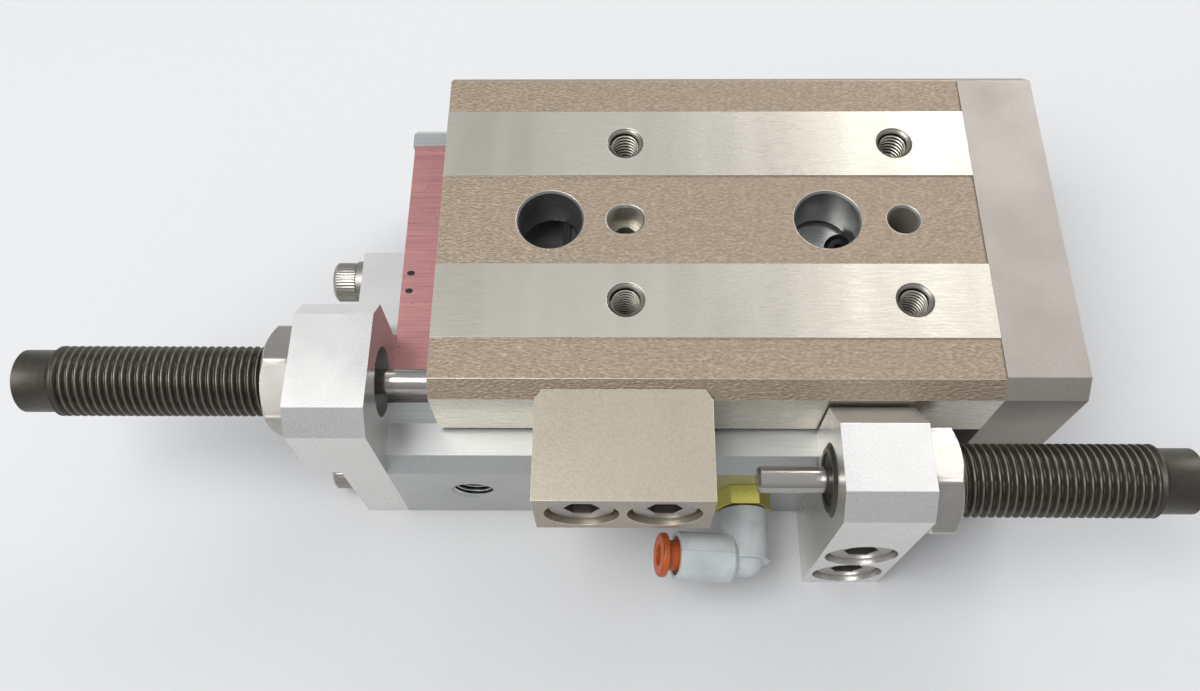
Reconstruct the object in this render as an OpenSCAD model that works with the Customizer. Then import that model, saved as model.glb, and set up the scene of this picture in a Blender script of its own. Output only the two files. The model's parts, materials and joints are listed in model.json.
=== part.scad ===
// Pneumatic slide table with dual rods and two shock absorbers.
// Millimetres. X along the stroke (front to +X), Y across, Z up.
// X = 0 at the middle of the cylinder body, Y = 0 on the guide centre line,
// Z = 0 on the mounting face.

/* [Cylinder body] */
// length of the cylinder body along the stroke
body_length = 107; // [104:1:110]
// guide centre line to the near side, which carries the ports
body_near = 45.6; // [45.2:0.2:46.2]
// guide centre line to the far side
body_far = 35.5; // [35:0.1:35.6]
// chamfer between the near side and the ledge
side_chamfer = 2.9; // [2.4:0.1:3.4]
// height of the ledge beside the table
ledge_height = 28.4; // [28:0.1:28.6]
// ledge to the top of the two rails beside the machined recess
lip_rise = 3.2; // [3:0.1:3.3]
// guide centre line to the outer edge of a rail
lip_outer = 32.8; // [32:0.1:33]
// guide centre line to the inner edge of a rail
lip_inner = 29.6; // [29.4:0.1:30]
// ledge to the machined recess floor
recess_rise = 1.2; // [0.8:0.1:1.4]
// bottom edge chamfer of the body
base_chamfer = 0.6; // [0.2:0.1:1.2]
// cylinder bore diameter
bore_diameter = 20; // [19:0.5:20.5]
// distance between the two bores
bore_spacing = 32; // [31:0.5:33]
// height of the bore axes
bore_height = 14.3; // [13.5:0.1:15]
// tapped core diameter of the open port
port_core = 8.3; // [8:0.1:8.8]
// depth of a port from the near side
port_depth = 9; // [8:0.5:10]
// mouth chamfer of a port
port_chamfer = 0.5; // [0.2:0.1:0.8]
// rear end of the body to the open rear port
rear_port_inset = 15.9; // [15:0.1:16.5]
// front end of the body to the front port
front_port_inset = 35.1; // [34.5:0.1:35.5]
// diameter of the air passage behind a port
passage_diameter = 3.2; // [2.5:0.1:3.4]
// through hole for an M6 body screw
body_screw_hole = 6.6; // [6.4:0.1:7]
// front end of the body to its front body screw
body_screw_inset = 29.5; // [29.1:0.1:29.5]
// distance between the body screws
body_screw_pitch = 55; // [54:0.5:56]

/* [Cylinder inside] */
// piston rod diameter
rod_diameter = 10; // [9.5:0.1:10.5]
// stepped rod end that carries the piston
rod_step = 6; // [5.5:0.1:6.5]
// length of a piston
piston_length = 16; // [14:0.5:17]
// room in front of the pistons, up to the rod bushings
piston_room = 32.5; // [32:0.5:33.5]
// radial room of a rod seal
seal_room = 2.5; // [2.3:0.1:2.6]
// length of a rod seal
seal_length = 4; // [3.5:0.1:4.5]
// inner end of a bushing to its O-ring groove
groove_inset = 10; // [9.5:0.1:10.4]
// width of a piston's seal groove
piston_groove = 3; // [2.8:0.1:3.2]
// radial depth of a piston's seal groove
piston_groove_depth = 2.5; // [2.3:0.1:2.6]
// room beside an O-ring in its groove
oring_room = 0.4; // [0.3:0.1:0.5]
// length of a rod bushing
bushing_length = 24; // [22:0.5:25]
// front end of the body to the face of a rod bushing
bushing_recess = 5.5; // [4.5:0.5:6]
// thickness of a rear end cap
cap_thickness = 6.5; // [6:0.1:7]
// rear end of the body to the face of an end cap
cap_recess = 3; // [2.6:0.1:3.4]
// thickness of a retaining ring
ring_thickness = 1; // [0.8:0.1:1.2]
// groove depth of a retaining ring in the bore wall
ring_groove = 0.5; // [0.4:0.05:0.7]
// thickness of the O-rings on bushings and caps
oring_thickness = 1.6; // [1.4:0.1:1.8]
// width across flats of a piston nut
piston_nut_flats = 10; // [9:0.5:11]
// thickness of a piston nut
piston_nut_height = 4; // [3.5:0.1:4.5]

/* [Table] */
// rear end of the table set back from the body's rear end
table_setback = 10.5; // [10.4:0.1:11]
// front end of the table beyond the body's front end
table_overhang = 10.5; // [10.4:0.1:11]
// width of the table
table_width = 75; // [74.6:0.1:75.2]
// ledge to the table's top face
table_rise = 19.6; // [19.2:0.1:20]
// thickness of the table's plate
plate_thickness = 10.9; // [10.6:0.1:11]
// corner chamfer along the table's long edges
table_chamfer = 3.3; // [2.8:0.1:3.6]
// guide centre line to the inside of a table leg
leg_inner = 30; // [30:0.01:30.04]
// ledge to the underside of the table's legs
leg_clearance = 1.6; // [1.2:0.1:2]
// height of the step that clears the rails
leg_step = 32; // [31.9:0.1:32.2]
// guide centre line to the inside of the leg below the step
leg_foot = 35.6; // [35.4:0.1:36]
// half width of the textured centre channel
channel_half = 10.25; // [9.5:0.25:11]
// guide centre line to the outer edge of a ground strip
strip_outer = 26.2; // [25:0.2:27]
// height of the ground strips above the textured face
strip_relief = 0.3; // [0.1:0.05:0.5]
// tapped core diameter of the four M6 work holes
work_core = 5; // [4.8:0.1:5.3]
// rim diameter of an M6 hole's countersink
work_rim = 7.5; // [6.5:0.1:8]
// spacing of the work holes along X
work_pitch_x = 55; // [54:0.5:56]
// spacing of the work holes across the table
work_pitch_y = 36.4; // [35.5:0.1:37]
// front end of the table to the front work holes
work_inset = 15; // [14:0.5:15.5]
// diameter of an access hole for a body screw
access_diameter = 12.8; // [12:0.1:13.4]
// travel that brings the access holes over the body screws
access_shift = 10; // [9.5:0.5:11]
// pin hole diameter
pin_diameter = 6; // [5.5:0.1:6.4]
// extra length of the slotted pin hole
pin_slot = 1; // [0.6:0.1:1.4]
// edge chamfer of access and pin holes
hole_chamfer = 0.4; // [0.2:0.1:0.6]
// thickness of the end plate
end_plate_thickness = 15.4; // [14:0.2:17]
// height of the end plate's underside
end_plate_bottom = 3.5; // [3:0.1:4]

/* [Guide] */
// rear end of the body to the guide block
block_rear_inset = 42; // [41.5:0.5:43]
// front end of the body to the guide block
block_front_inset = 9; // [8.8:0.1:10]
// width of the guide block
block_width = 58.4; // [58:0.1:58.8]
// height of the guide block on the recess floor
block_height = 6.4; // [6.1:0.1:6.6]
// thickness of a guide end cover
cover_thickness = 6; // [5.6:0.1:6.4]
// thickness of a scraper
scraper_thickness = 1.5; // [1:0.1:1.6]
// ball diameter
ball_diameter = 2.8; // [2.6:0.05:2.9]
// guide block's top down to the ball track
track_drop = 2; // [1.9:0.1:2.1]
// guide centre line to the loaded ball track
track_y = 29.6; // [29.55:0.01:29.65]
// radius of the ball turn in the end covers
turn_radius = 3.6; // [3.4:0.1:3.8]
// balls on each straight of the track
balls_straight = 13; // [12:1:14]
// guide centre line to the cover screws
cover_screw_y = 12; // [11:0.5:13]
// rear end of the guide block to its rear screw
block_screw_rear = 7.5; // [7:0.1:8]
// front end of the guide block to its front screw
block_screw_front = 5.5; // [5.2:0.1:6]
// middle screw of the guide block to the opening over the front body screw
block_screw_middle = 15; // [14:0.5:15.5]
// opening in the guide block over the front body screw
block_opening = 11; // [10.6:0.1:11.4]

/* [Stopper] */
// length of the stopper block along the stroke
stopper_length = 33; // [32:0.5:34]
// depth of the stopper block away from the table
stopper_depth = 20; // [19.5:0.1:20.5]
// ledge to the stopper block's underside
stopper_clearance = 0.9; // [0.6:0.1:1.2]
// table's top face down to the stopper block's top
stopper_drop = 1.5; // [1.2:0.1:1.8]
// spacing of the stopper screws
stopper_screw_pitch = 15.3; // [14.8:0.1:16]
// table's top face down to the stopper screws
stopper_screw_drop = 9.8; // [9.4:0.1:10.2]

/* [Absorbers] */
// outside diameter of the absorber thread
absorber_thread = 13.8; // [13.6:0.1:14]
// length of an absorber body
absorber_length = 67.3; // [66:0.1:69]
// plain neck length at the closed end
neck_length = 7; // [6:0.5:8]
// neck diameter
neck_diameter = 12.2; // [12:0.1:12.8]
// absorber rod diameter
plunger_diameter = 5; // [4.6:0.1:5.4]
// plunger still out at the end of its stroke
plunger_rest = 2; // [1.6:0.1:2.4]
// stroke of an absorber
absorber_stroke = 11; // [10.4:0.1:11.2]
// inside diameter of an absorber body
absorber_bore = 10; // [9.8:0.1:10.4]
// length of the gland at an absorber's open end
gland_length = 6; // [5.5:0.1:6.5]
// open end of an absorber to the head on its rod, at rest
head_start = 24; // [23:0.5:25]
// length of the head on an absorber's rod
head_length = 6; // [5.5:0.1:6.5]
// thickness of an absorber's closed end
absorber_end_wall = 6; // [5:0.5:6.5]
// chamfers at the ends of an absorber's thread
thread_chamfer = 0.7; // [0.5:0.1:0.8]
// gland set back from the open end
gland_recess = 0.3; // [0.2:0.1:0.5]
// radial room outside a return spring
spring_room = 0.4; // [0.3:0.1:0.6]
// radial thickness of a return spring's wire
spring_wire = 1.2; // [1.1:0.1:1.3]
// table's top face down to the absorber axes
absorber_drop = 10.5; // [10.2:0.1:10.8]
// free travel from the stopper block to the front rod
free_travel = 8.4; // [8.2:0.1:9]
// gap from the table's rear end to the rear rod
rear_gap = 0.3; // [0.3:0.05:0.5]
// width across flats of a lock nut
nut_flats = 19; // [18.5:0.1:19.5]
// thickness of a lock nut
nut_height = 6; // [5.5:0.1:6.5]
// turn of the front lock nut from corner up
front_nut_turn = 19; // [0:1:60]
// turn of the rear lock nut from corner up
rear_nut_turn = 1; // [0:1:60]
// coils of a return spring
spring_coils = 8; // [7:1:9]

/* [Front holder] */
// front end of the body to the front holder
front_holder_inset = 5.5; // [5:0.1:5.7]
// end ring of the front absorber proud of the holder
ring_proud = 0.6; // [0.4:0.1:0.8]
// width of the front holder along X
front_holder_width = 16; // [15.5:0.1:16.5]
// guide centre line to the front holder's near face
front_holder_near = 61; // [60.6:0.1:61.4]
// gap between the front holder and the table's side
holder_gap = 0.5; // [0.4:0.1:0.6]
// table's top face up to the top of both holders
holder_rise = 2; // [1.6:0.1:2.6]
// near top chamfer of the holders
holder_chamfer = 4.35; // [4:0.05:4.6]
// guide centre line to the front absorber axis
front_absorber_y = 50.5; // [50.3:0.1:50.7]
// height of the upper front holder screw
front_screw_high = 22.2; // [22.2:0.1:22.4]
// height of the lower front holder screw
front_screw_low = 8; // [7.8:0.1:8]
// counterbore diameter for an M8 socket head
counterbore_m8 = 14; // [13.8:0.1:14.1]
// counterbore depth for an M8 socket head
counterbore_depth = 9; // [8.4:0.1:10]

/* [Rear holder] */
// length of the rear holder's boss along X
boss_length = 15; // [14.5:0.1:15.5]
// thickness of the rear holder's plate
holder_plate = 9; // [8.5:0.1:9.5]
// far end of the rear holder's plate beyond the guide centre line
holder_plate_far = 3.6; // [3.2:0.1:4.4]
// guide centre line to the far face of the boss
boss_far = 18; // [17.6:0.1:18.4]
// ledge down to the underside of the boss
boss_drop = 2.4; // [2:0.1:2.8]
// guide centre line to the upper rear holder screw
rear_screw_upper_y = 1; // [0.6:0.1:1.2]
// height of the upper rear holder screw
rear_screw_upper_z = 23.5; // [23.2:0.1:23.8]
// guide centre line to the lower rear holder screw
rear_screw_lower_y = 38; // [37.6:0.1:38.4]
// height of the lower rear holder screw
rear_screw_lower_z = 6; // [5.6:0.1:6.4]
// guide centre line to the rear absorber axis
rear_absorber_y = 30.8; // [30.8:0.1:31.2]
// fillet between the plate and the boss
holder_fillet = 4.5; // [4:0.1:5]
// spring washer thickness
washer_thickness = 1.5; // [1.2:0.1:1.6]

/* [Air fitting] */
// width across flats of the brass hexagon
stud_flats = 10; // [9.6:0.1:10.4]
// thickness of the brass hexagon
stud_hex = 3.9; // [3.6:0.1:4.2]
// outside diameter of the stud's thread
stud_thread = 9.6; // [9.4:0.1:9.8]
// diameter of the elbow's leg
leg_diameter = 9.6; // [9.2:0.1:10]
// length of the elbow's leg
leg_length = 10.5; // [10.2:0.1:11]
// diameter of the elbow's branch sleeve
sleeve_diameter = 9.8; // [9.4:0.1:10.2]
// leg axis to the sleeve's mouth
sleeve_reach = 14.6; // [14.2:0.1:15]
// leg axis to the sleeve's inner end
sleeve_root = 2.8; // [2.4:0.1:3.2]
// chamfer at the sleeve's inner end
sleeve_chamfer = 0.8; // [0.5:0.1:1]
// turn of the elbow's branch up from level
elbow_turn = 12; // [-25:1:30]
// leg's end to the branch axis
branch_inset = 0.5; // [0.3:0.1:0.8]
// diameter of the elbow's rounded corner
corner_diameter = 7; // [6.8:0.1:7.4]
// diameter of the release button's rim
button_diameter = 8.75; // [8.4:0.05:8.9]
// travel of the release button
button_travel = 1; // [0.8:0.1:1.1]
// thickness of the release button's rim
button_rim = 1.5; // [1.3:0.1:1.7]
// release button standing out of the sleeve
button_out = 3.6; // [3.3:0.1:3.8]
// room behind the release button's neck when pressed
button_room = 0.4; // [0.3:0.1:0.5]
// outside diameter of the release button's neck
button_neck = 6; // [5.8:0.1:6.4]
// bore of the sleeve for the parts that hold the tube
sleeve_bore = 7.8; // [7.6:0.1:8]
// sleeve's mouth to the guide ring
guide_ring_inset = 1.8; // [1.6:0.1:1.9]
// length of the guide ring
guide_ring_length = 3; // [2.8:0.1:3.1]
// thickness of the grip ring
grip_ring_thickness = 0.5; // [0.4:0.1:0.6]
// length of the tube seal
tube_seal_length = 2.5; // [2.3:0.1:2.6]
// inner bore of the elbow
elbow_bore = 2.6; // [2.4:0.1:3]
// wall at the elbow's corner that stops the tube
tube_stop = 2; // [1.6:0.1:2.2]
// diameter of the stud's spigot in the elbow's leg
spigot_diameter = 6.5; // [6.3:0.1:6.7]
// length of the stud's spigot in the elbow's leg
spigot_length = 6.5; // [6:0.1:6.8]
// bore of the stud
stud_bore = 3; // [2.6:0.1:3.1]
// thickness of the elbow's O-ring
elbow_oring = 0.96; // [0.9:0.02:0.96]
// outside diameter of the air tube, with its clearance
tube_hole = 4.1; // [4:0.05:4.2]

/* [Screws] */
// M4 socket head diameter
m4_head = 7; // [6.6:0.1:7.2]
// M5 socket head diameter
m5_head = 8.5; // [8.2:0.1:8.8]
// M8 socket head diameter
m8_head = 13; // [12.6:0.1:13.3]
// M2 pan head diameter
m2_head = 3.4; // [3.2:0.1:3.6]
// M2 pan head height
m2_head_height = 1.2; // [1:0.1:1.3]
// M2 screw length in the guide block
m2_grip = 5; // [4.5:0.1:5.5]
// clearance hole over the screw size
screw_clearance = 0.4; // [0.3:0.05:0.5]
// thread's pitch diameter as a share of the screw size
thread_share = 0.9; // [0.86:0.01:0.92]
// gap round a sunk screw head
head_gap = 0.45; // [0.3:0.05:0.5]
// table top to the end plate screws
plate_screw_drop = 5.5; // [5.2:0.1:5.7]
// guide centre line to the inner end plate screws
plate_screw_inner = 12; // [11.5:0.5:12.5]
// guide centre line to the outer end plate screws
plate_screw_outer = 30; // [29.5:0.5:30]
// screw length in the thread
thread_grip = 10; // [9:0.5:10]

/* [Fits] */
// radial running clearance
run_fit = 0.05; // [0.03:0.01:0.08]
// radial clearance of seated pieces
seat_fit = 0.02; // [0.01:0.01:0.04]

/* [Hidden] */

body_rear = -body_length / 2;
body_front = body_length / 2;
bore_y = bore_spacing / 2;
side_height = ledge_height - side_chamfer;
lip_height = ledge_height + lip_rise;
recess_floor = ledge_height + recess_rise;
table_top = ledge_height + table_rise;
leg_bottom = ledge_height + leg_clearance;
block_top = recess_floor + block_height;
track_height = block_top - track_drop;
stopper_bottom = ledge_height + stopper_clearance;
stopper_top = table_top - stopper_drop;
stopper_screw_z = table_top - stopper_screw_drop;
absorber_z = table_top - absorber_drop;
holder_top = table_top + holder_rise;
boss_bottom = ledge_height - boss_drop;
rear_port_x = body_rear + rear_port_inset;
front_port_x = body_front - front_port_inset;
body_screw_front = body_front - body_screw_inset;
bushing_inner = body_front - bushing_recess - bushing_length;
piston_front = bushing_inner - piston_room;
cap_inner = body_rear + cap_recess + cap_thickness;
table_rear = body_rear + table_setback;
table_front = body_front + table_overhang;
table_half = table_width / 2;
plate_under = table_top - plate_thickness;
channel_top = table_top - strip_relief;
plate_front = table_front + end_plate_thickness;
body_screw_rear = body_screw_front - body_screw_pitch;
work_front_x = table_front - work_inset;
work_rear_x = work_front_x - work_pitch_x;
pin_rear_x = work_rear_x;
pin_front_x = work_front_x;
block_rear = body_rear + block_rear_inset;
block_front = body_front - block_front_inset;
block_length = block_front - block_rear;
block_half = block_width / 2;
guide_rear = block_rear - cover_thickness - scraper_thickness;
guide_front = block_front + cover_thickness + scraper_thickness;
track_radius = ball_diameter / 2 + run_fit;
turn_y = track_y - turn_radius;
block_screws = [
  block_rear + block_screw_rear,
  body_screw_front - block_screw_middle,
  block_front - block_screw_front
];
m4 = 4;
m5 = 5;
m8 = 8;
m4_thread = m4 * thread_share;
m5_thread = m5 * thread_share;
m8_thread = m8 * thread_share;
m2_thread = 1.6;
m2_socket = 1.3;
m2_length = cover_thickness + scraper_thickness + m2_grip;
m4_socket = 3;
m5_socket = 4;
m8_socket = 6;
m4_sunk = m4 + screw_clearance;
m5_sunk = m5 + screw_clearance;
plate_screw_z = table_top - plate_screw_drop;
plate_screws_y = [-plate_screw_outer, -plate_screw_inner, plate_screw_inner, plate_screw_outer];
cover_screw_z = (recess_floor + block_top) / 2;
front_holder_x = body_front - front_holder_inset - front_holder_width;
front_ring = front_holder_x - ring_proud;
plunger_out = absorber_stroke + plunger_rest;
front_tip = front_ring - plunger_out;
stopper_front = front_tip - free_travel;
stopper_rear = stopper_front - stopper_length;
stopper_x = (stopper_rear + stopper_front) / 2;
stopper_near = table_half + stopper_depth;
rear_tip = table_rear - rear_gap;
rear_ring = rear_tip - plunger_out;
front_holder_end = front_holder_x + front_holder_width;
front_screw_x = front_holder_x + front_holder_width / 2;
boss_rear = body_rear - boss_length;
plate_rear = body_rear - holder_plate;
rear_screws = [
  [-rear_screw_upper_y, rear_screw_upper_z],
  [-rear_screw_lower_y, rear_screw_lower_z]
];
leg_start = body_near + stud_hex + 0.3;
leg_end = leg_start + leg_length;
elbow_ring_y = leg_start + spigot_length / 2;
branch_y = leg_end - branch_inset;
sleeve_mouth = -sleeve_reach;
sleeve_inner = -sleeve_root;
grip_ring_x = sleeve_mouth + guide_ring_inset + guide_ring_length;
button_inside = guide_ring_inset + guide_ring_length - button_travel - button_room;
tube_seal_x = grip_ring_x + grip_ring_thickness;
sleeve_floor = tube_seal_x + tube_seal_length;
piston_rear = piston_front - piston_length;
spring_end = absorber_length - absorber_end_wall;
thread_end = absorber_length - neck_length - thread_chamfer;
$fn = 48;

// ---------------------------------------------------------------- helpers

module cyl_x(d, x0, x1, y, z) {
  translate([x0, y, z])
    rotate([0, 90, 0])
      cylinder(d = d, h = x1 - x0);
}

module cyl_y(d, y0, y1, x, z) {
  translate([x, y0, z])
    rotate([-90, 0, 0])
      cylinder(d = d, h = y1 - y0);
}

module cyl_z(d, z0, z1, x, y) {
  translate([x, y, z0])
    cylinder(d = d, h = z1 - z0);
}

// profile given as [y, z], drawn out along X
module bar_x(points, x0, x1) {
  translate([x0, 0, 0])
    rotate([90, 0, 90])
      linear_extrude(height = x1 - x0)
        polygon(points);
}

module box(x0, x1, y0, y1, z0, z1) {
  translate([x0, y0, z0])
    cube([x1 - x0, y1 - y0, z1 - z0]);
}

module ring(d_out, d_in, h) {
  difference() {
    cylinder(d = d_out, h = h);
    translate([0, 0, -1])
      cylinder(d = d_in, h = h + 2);
  }
}

module torus(r, d) {
  rotate_extrude()
    translate([r, 0])
      circle(d = d);
}

// head stands from z = 0 upwards, shank hangs below
module socket_screw(head_d, head_h, flats, shank_d, shank_l) {
  difference() {
    union() {
      cylinder(d = head_d, h = head_h - 0.4);
      translate([0, 0, head_h - 0.4])
        cylinder(d1 = head_d, d2 = head_d - 0.8, h = 0.4);
      translate([0, 0, -shank_l])
        cylinder(d = shank_d, h = shank_l + 0.1);
    }
    translate([0, 0, head_h * 0.45])
      cylinder(d = flats / cos(30), h = head_h, $fn = 6);
  }
}

module hex_nut(flats, height, hole, turn) {
  difference() {
    intersection() {
      rotate([0, 0, turn])
        cylinder(d = flats / cos(30), h = height, $fn = 6);
      union() {
        cylinder(d1 = flats + 0.2, d2 = flats + 0.2 + 6, h = 3);
        translate([0, 0, 3])
          cylinder(d = flats + 6.2, h = height - 6 + 0.01);
        translate([0, 0, height - 3])
          cylinder(d1 = flats + 0.2 + 6, d2 = flats + 0.2, h = 3);
      }
    }
    translate([0, 0, -1])
      cylinder(d = hole, h = height + 2);
  }
}

// ---------------------------------------------------------------- cylinder body

module port_mouth(x, d) {
  translate([x, -body_near - 0.01, bore_height])
    rotate([-90, 0, 0])
      cylinder(d1 = d + 2 * port_chamfer, d2 = d, h = port_chamfer);
}

module cylinder_body() {
  color([0.78, 0.78, 0.77])
  difference() {
    bar_x([
      [-body_near, base_chamfer],
      [-body_near, side_height],
      [-body_near + ledge_height - side_height, ledge_height],
      [-lip_outer - (lip_height - ledge_height), ledge_height],
      [-lip_outer, lip_height],
      [-lip_inner, lip_height],
      [-lip_inner, recess_floor],
      [lip_inner, recess_floor],
      [lip_inner, lip_height],
      [lip_outer, lip_height],
      [body_far, lip_height - (body_far - lip_outer)],
      [body_far, base_chamfer],
      [body_far - base_chamfer, 0],
      [-body_near + base_chamfer, 0]
    ], body_rear, body_front);
    for (y = [-bore_y, bore_y]) {
      cyl_x(bore_diameter, body_rear - 1, body_front + 1, y, bore_height);
      cyl_x(bore_diameter + 2 * ring_groove, cap_inner - cap_thickness - ring_thickness - 0.05,
        cap_inner - cap_thickness + 0.05, y, bore_height);
      cyl_x(bore_diameter + 2 * ring_groove, bushing_inner + bushing_length - 0.05,
        bushing_inner + bushing_length + ring_thickness + 0.05, y, bore_height);
    }
    cyl_y(port_core, -body_near - 1, -body_near + port_depth, rear_port_x, bore_height);
    port_mouth(rear_port_x, port_core);
    cyl_y(stud_thread + 2 * seat_fit, -body_near - 1, -body_near + port_depth,
      front_port_x, bore_height);
    for (x = [rear_port_x, front_port_x])
      cyl_y(passage_diameter, -body_near + port_depth - 1, bore_y, x, bore_height);
    for (x = [body_screw_rear, body_screw_front])
      cyl_z(body_screw_hole, -1, recess_floor + 1, x, 0);
    for (x = block_screws)
      cyl_z(m4_thread + 2 * seat_fit, recess_floor - thread_grip, recess_floor + 1, x, 0);
    for (s = rear_screws)
      cyl_x(m5_thread + 2 * seat_fit, body_rear - 1, body_rear + thread_grip + 1, s[0], s[1]);
    for (z = [front_screw_low, front_screw_high])
      cyl_y(m8_thread + 2 * seat_fit, -body_near - 1, -body_near + thread_grip + 3,
        front_screw_x, z);
  }
}

// ---------------------------------------------------------------- guide

module guide_block() {
  color([0.72, 0.73, 0.74])
  difference() {
    box(block_rear, block_front, -block_half, block_half, recess_floor, block_top);
    for (s = [-1, 1]) {
      cyl_x(2 * track_radius, block_rear - 1, block_front + 1, s * track_y, track_height);
      cyl_x(2 * track_radius, block_rear - 1, block_front + 1,
        s * (turn_y - turn_radius), track_height);
      for (x = [block_rear - 0.01, block_front - 6])
        cyl_x(m2_thread + 2 * seat_fit, x, x + 6.01, s * cover_screw_y, cover_screw_z);
    }
    for (x = block_screws) {
      cyl_z(m4 + screw_clearance, recess_floor - 1, block_top + 1, x, 0);
      cyl_z(m4_head + head_gap, block_top - m4_sunk, block_top + 1, x, 0);
    }
    cyl_z(block_opening, recess_floor - 1, block_top + 1, body_screw_front, 0);
  }
}

module guide_block_screws() {
  color([0.2, 0.2, 0.2])
  for (x = block_screws)
    translate([x, 0, block_top - m4_sunk])
      socket_screw(m4_head, m4, m4_socket, m4_thread,
        block_top - m4_sunk - recess_floor + thread_grip - 2);
}

// end cover whose block side is at x = 0 and which reaches to negative X
module end_cover() {
  difference() {
    box(-cover_thickness, 0, -block_half, block_half, recess_floor, block_top);
    for (s = [-1, 1]) {
      translate([0, s * turn_y, track_height])
        torus(turn_radius, 2 * track_radius);
      cyl_x(2.2, -cover_thickness - 1, 1, s * cover_screw_y, cover_screw_z);
    }
  }
}

module guide_end_cover_rear() {
  color([0.16, 0.16, 0.17])
  translate([block_rear, 0, 0])
    end_cover();
}

module guide_end_cover_front() {
  color([0.16, 0.16, 0.17])
  translate([block_front, 0, 0])
    rotate([0, 0, 180])
      end_cover();
}

module scraper(x) {
  difference() {
    box(x, x + scraper_thickness, -leg_inner + 0.35, leg_inner - 0.35,
      recess_floor, block_top + 0.6);
    for (s = [-1, 1])
      cyl_x(2.2, x - 1, x + scraper_thickness + 1, s * cover_screw_y, cover_screw_z);
  }
}

module guide_scraper_rear() {
  color([0.1, 0.1, 0.1])
  scraper(guide_rear);
}

module guide_scraper_front() {
  color([0.1, 0.1, 0.1])
  scraper(guide_front - scraper_thickness);
}

module guide_cover_screws() {
  color([0.6, 0.6, 0.6])
  for (y = [-cover_screw_y, cover_screw_y]) {
    translate([guide_rear, y, cover_screw_z])
      rotate([0, -90, 0])
        socket_screw(m2_head, m2_head_height, m2_socket, m2_thread, m2_length);
    translate([guide_front, y, cover_screw_z])
      rotate([0, 90, 0])
        socket_screw(m2_head, m2_head_height, m2_socket, m2_thread, m2_length);
  }
}

module ball_row() {
  step = block_length / balls_straight;
  for (i = [0 : balls_straight - 1]) {
    translate([block_rear + (i + 0.5) * step, track_y, track_height])
      sphere(d = ball_diameter);
    translate([block_rear + (i + 0.5) * step, turn_y - turn_radius, track_height])
      sphere(d = ball_diameter);
  }
  for (a = [-40, 40]) {
    translate([block_front + turn_radius * cos(a), turn_y + turn_radius * sin(a), track_height])
      sphere(d = ball_diameter);
    translate([block_rear - turn_radius * cos(a), turn_y + turn_radius * sin(a), track_height])
      sphere(d = ball_diameter);
  }
}

module near_ball_row() {
  color([0.85, 0.85, 0.86])
  translate([block_rear + block_front, 0, 0])
    rotate([0, 0, 180])
      ball_row();
}

module far_ball_row() {
  color([0.85, 0.85, 0.86])
  ball_row();
}

// ---------------------------------------------------------------- cylinder inside

module oring_groove(x, y) {
  translate([x, y, bore_height])
    rotate([0, 90, 0])
      difference() {
        cylinder(d = bore_diameter + 2, h = oring_thickness + 2 * oring_room);
        translate([0, 0, -1])
          cylinder(d = bore_diameter - 2 * oring_thickness - 2 * seat_fit,
            h = oring_thickness + 3);
      }
}

module bushing(y) {
  difference() {
    cyl_x(bore_diameter - 2 * seat_fit, bushing_inner, bushing_inner + bushing_length,
      y, bore_height);
    cyl_x(rod_diameter + 2 * run_fit, bushing_inner - 1, bushing_inner + bushing_length + 1,
      y, bore_height);
    cyl_x(rod_diameter + 2 * seal_room, bushing_inner - 1, bushing_inner + seal_length,
      y, bore_height);
    oring_groove(bushing_inner + groove_inset, y);
  }
}

module near_rod_bushing() {
  color([0.7, 0.62, 0.4])
  bushing(-bore_y);
}

module far_rod_bushing() {
  color([0.7, 0.62, 0.4])
  bushing(bore_y);
}

module rod_seals() {
  color([0.08, 0.08, 0.08])
  for (y = [-bore_y, bore_y])
    translate([bushing_inner, y, bore_height])
      rotate([0, 90, 0])
        ring(rod_diameter + 2 * (seal_room - seat_fit), rod_diameter + 2 * run_fit, seal_length);
}

module bushing_o_rings() {
  color([0.08, 0.08, 0.08])
  for (y = [-bore_y, bore_y])
    translate([bushing_inner + groove_inset + oring_thickness / 2 + oring_room, y, bore_height])
      rotate([0, 90, 0])
        torus((bore_diameter - oring_thickness) / 2 - seat_fit, oring_thickness - seat_fit);
}

module end_cap(y) {
  difference() {
    cyl_x(bore_diameter - 2 * seat_fit, cap_inner - cap_thickness, cap_inner, y, bore_height);
    oring_groove(cap_inner - cap_thickness / 2 - oring_thickness / 2 - oring_room, y);
  }
}

module near_end_cap() {
  color([0.7, 0.7, 0.7])
  end_cap(-bore_y);
}

module far_end_cap() {
  color([0.7, 0.7, 0.7])
  end_cap(bore_y);
}

module end_cap_o_rings() {
  color([0.08, 0.08, 0.08])
  for (y = [-bore_y, bore_y])
    translate([cap_inner - cap_thickness / 2, y, bore_height])
      rotate([0, 90, 0])
        torus((bore_diameter - oring_thickness) / 2 - seat_fit, oring_thickness - seat_fit);
}

module retaining_ring(x, y) {
  translate([x, y, bore_height])
    rotate([0, 90, 0])
      difference() {
        ring(bore_diameter + 2 * ring_groove - 2 * seat_fit, bore_diameter - 3, ring_thickness);
        translate([0, -2.5, -1])
          cube([bore_diameter, 5, ring_thickness + 2]);
      }
}

module retaining_rings() {
  color([0.35, 0.35, 0.36])
  for (y = [-bore_y, bore_y]) {
    retaining_ring(cap_inner - cap_thickness - ring_thickness, y);
    retaining_ring(bushing_inner + bushing_length, y);
  }
}

module piston_rod(y) {
  difference() {
    union() {
      cyl_x(rod_diameter, piston_front, table_front, y, bore_height);
      cyl_x(rod_step, piston_rear - piston_nut_height - 0.5, piston_front + 0.1, y, bore_height);
    }
    cyl_x(m5_thread + 2 * seat_fit, table_front - thread_grip - 4, table_front + 1,
      y, bore_height);
  }
}

module near_piston_rod() {
  color([0.8, 0.8, 0.82])
  piston_rod(-bore_y);
}

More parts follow.
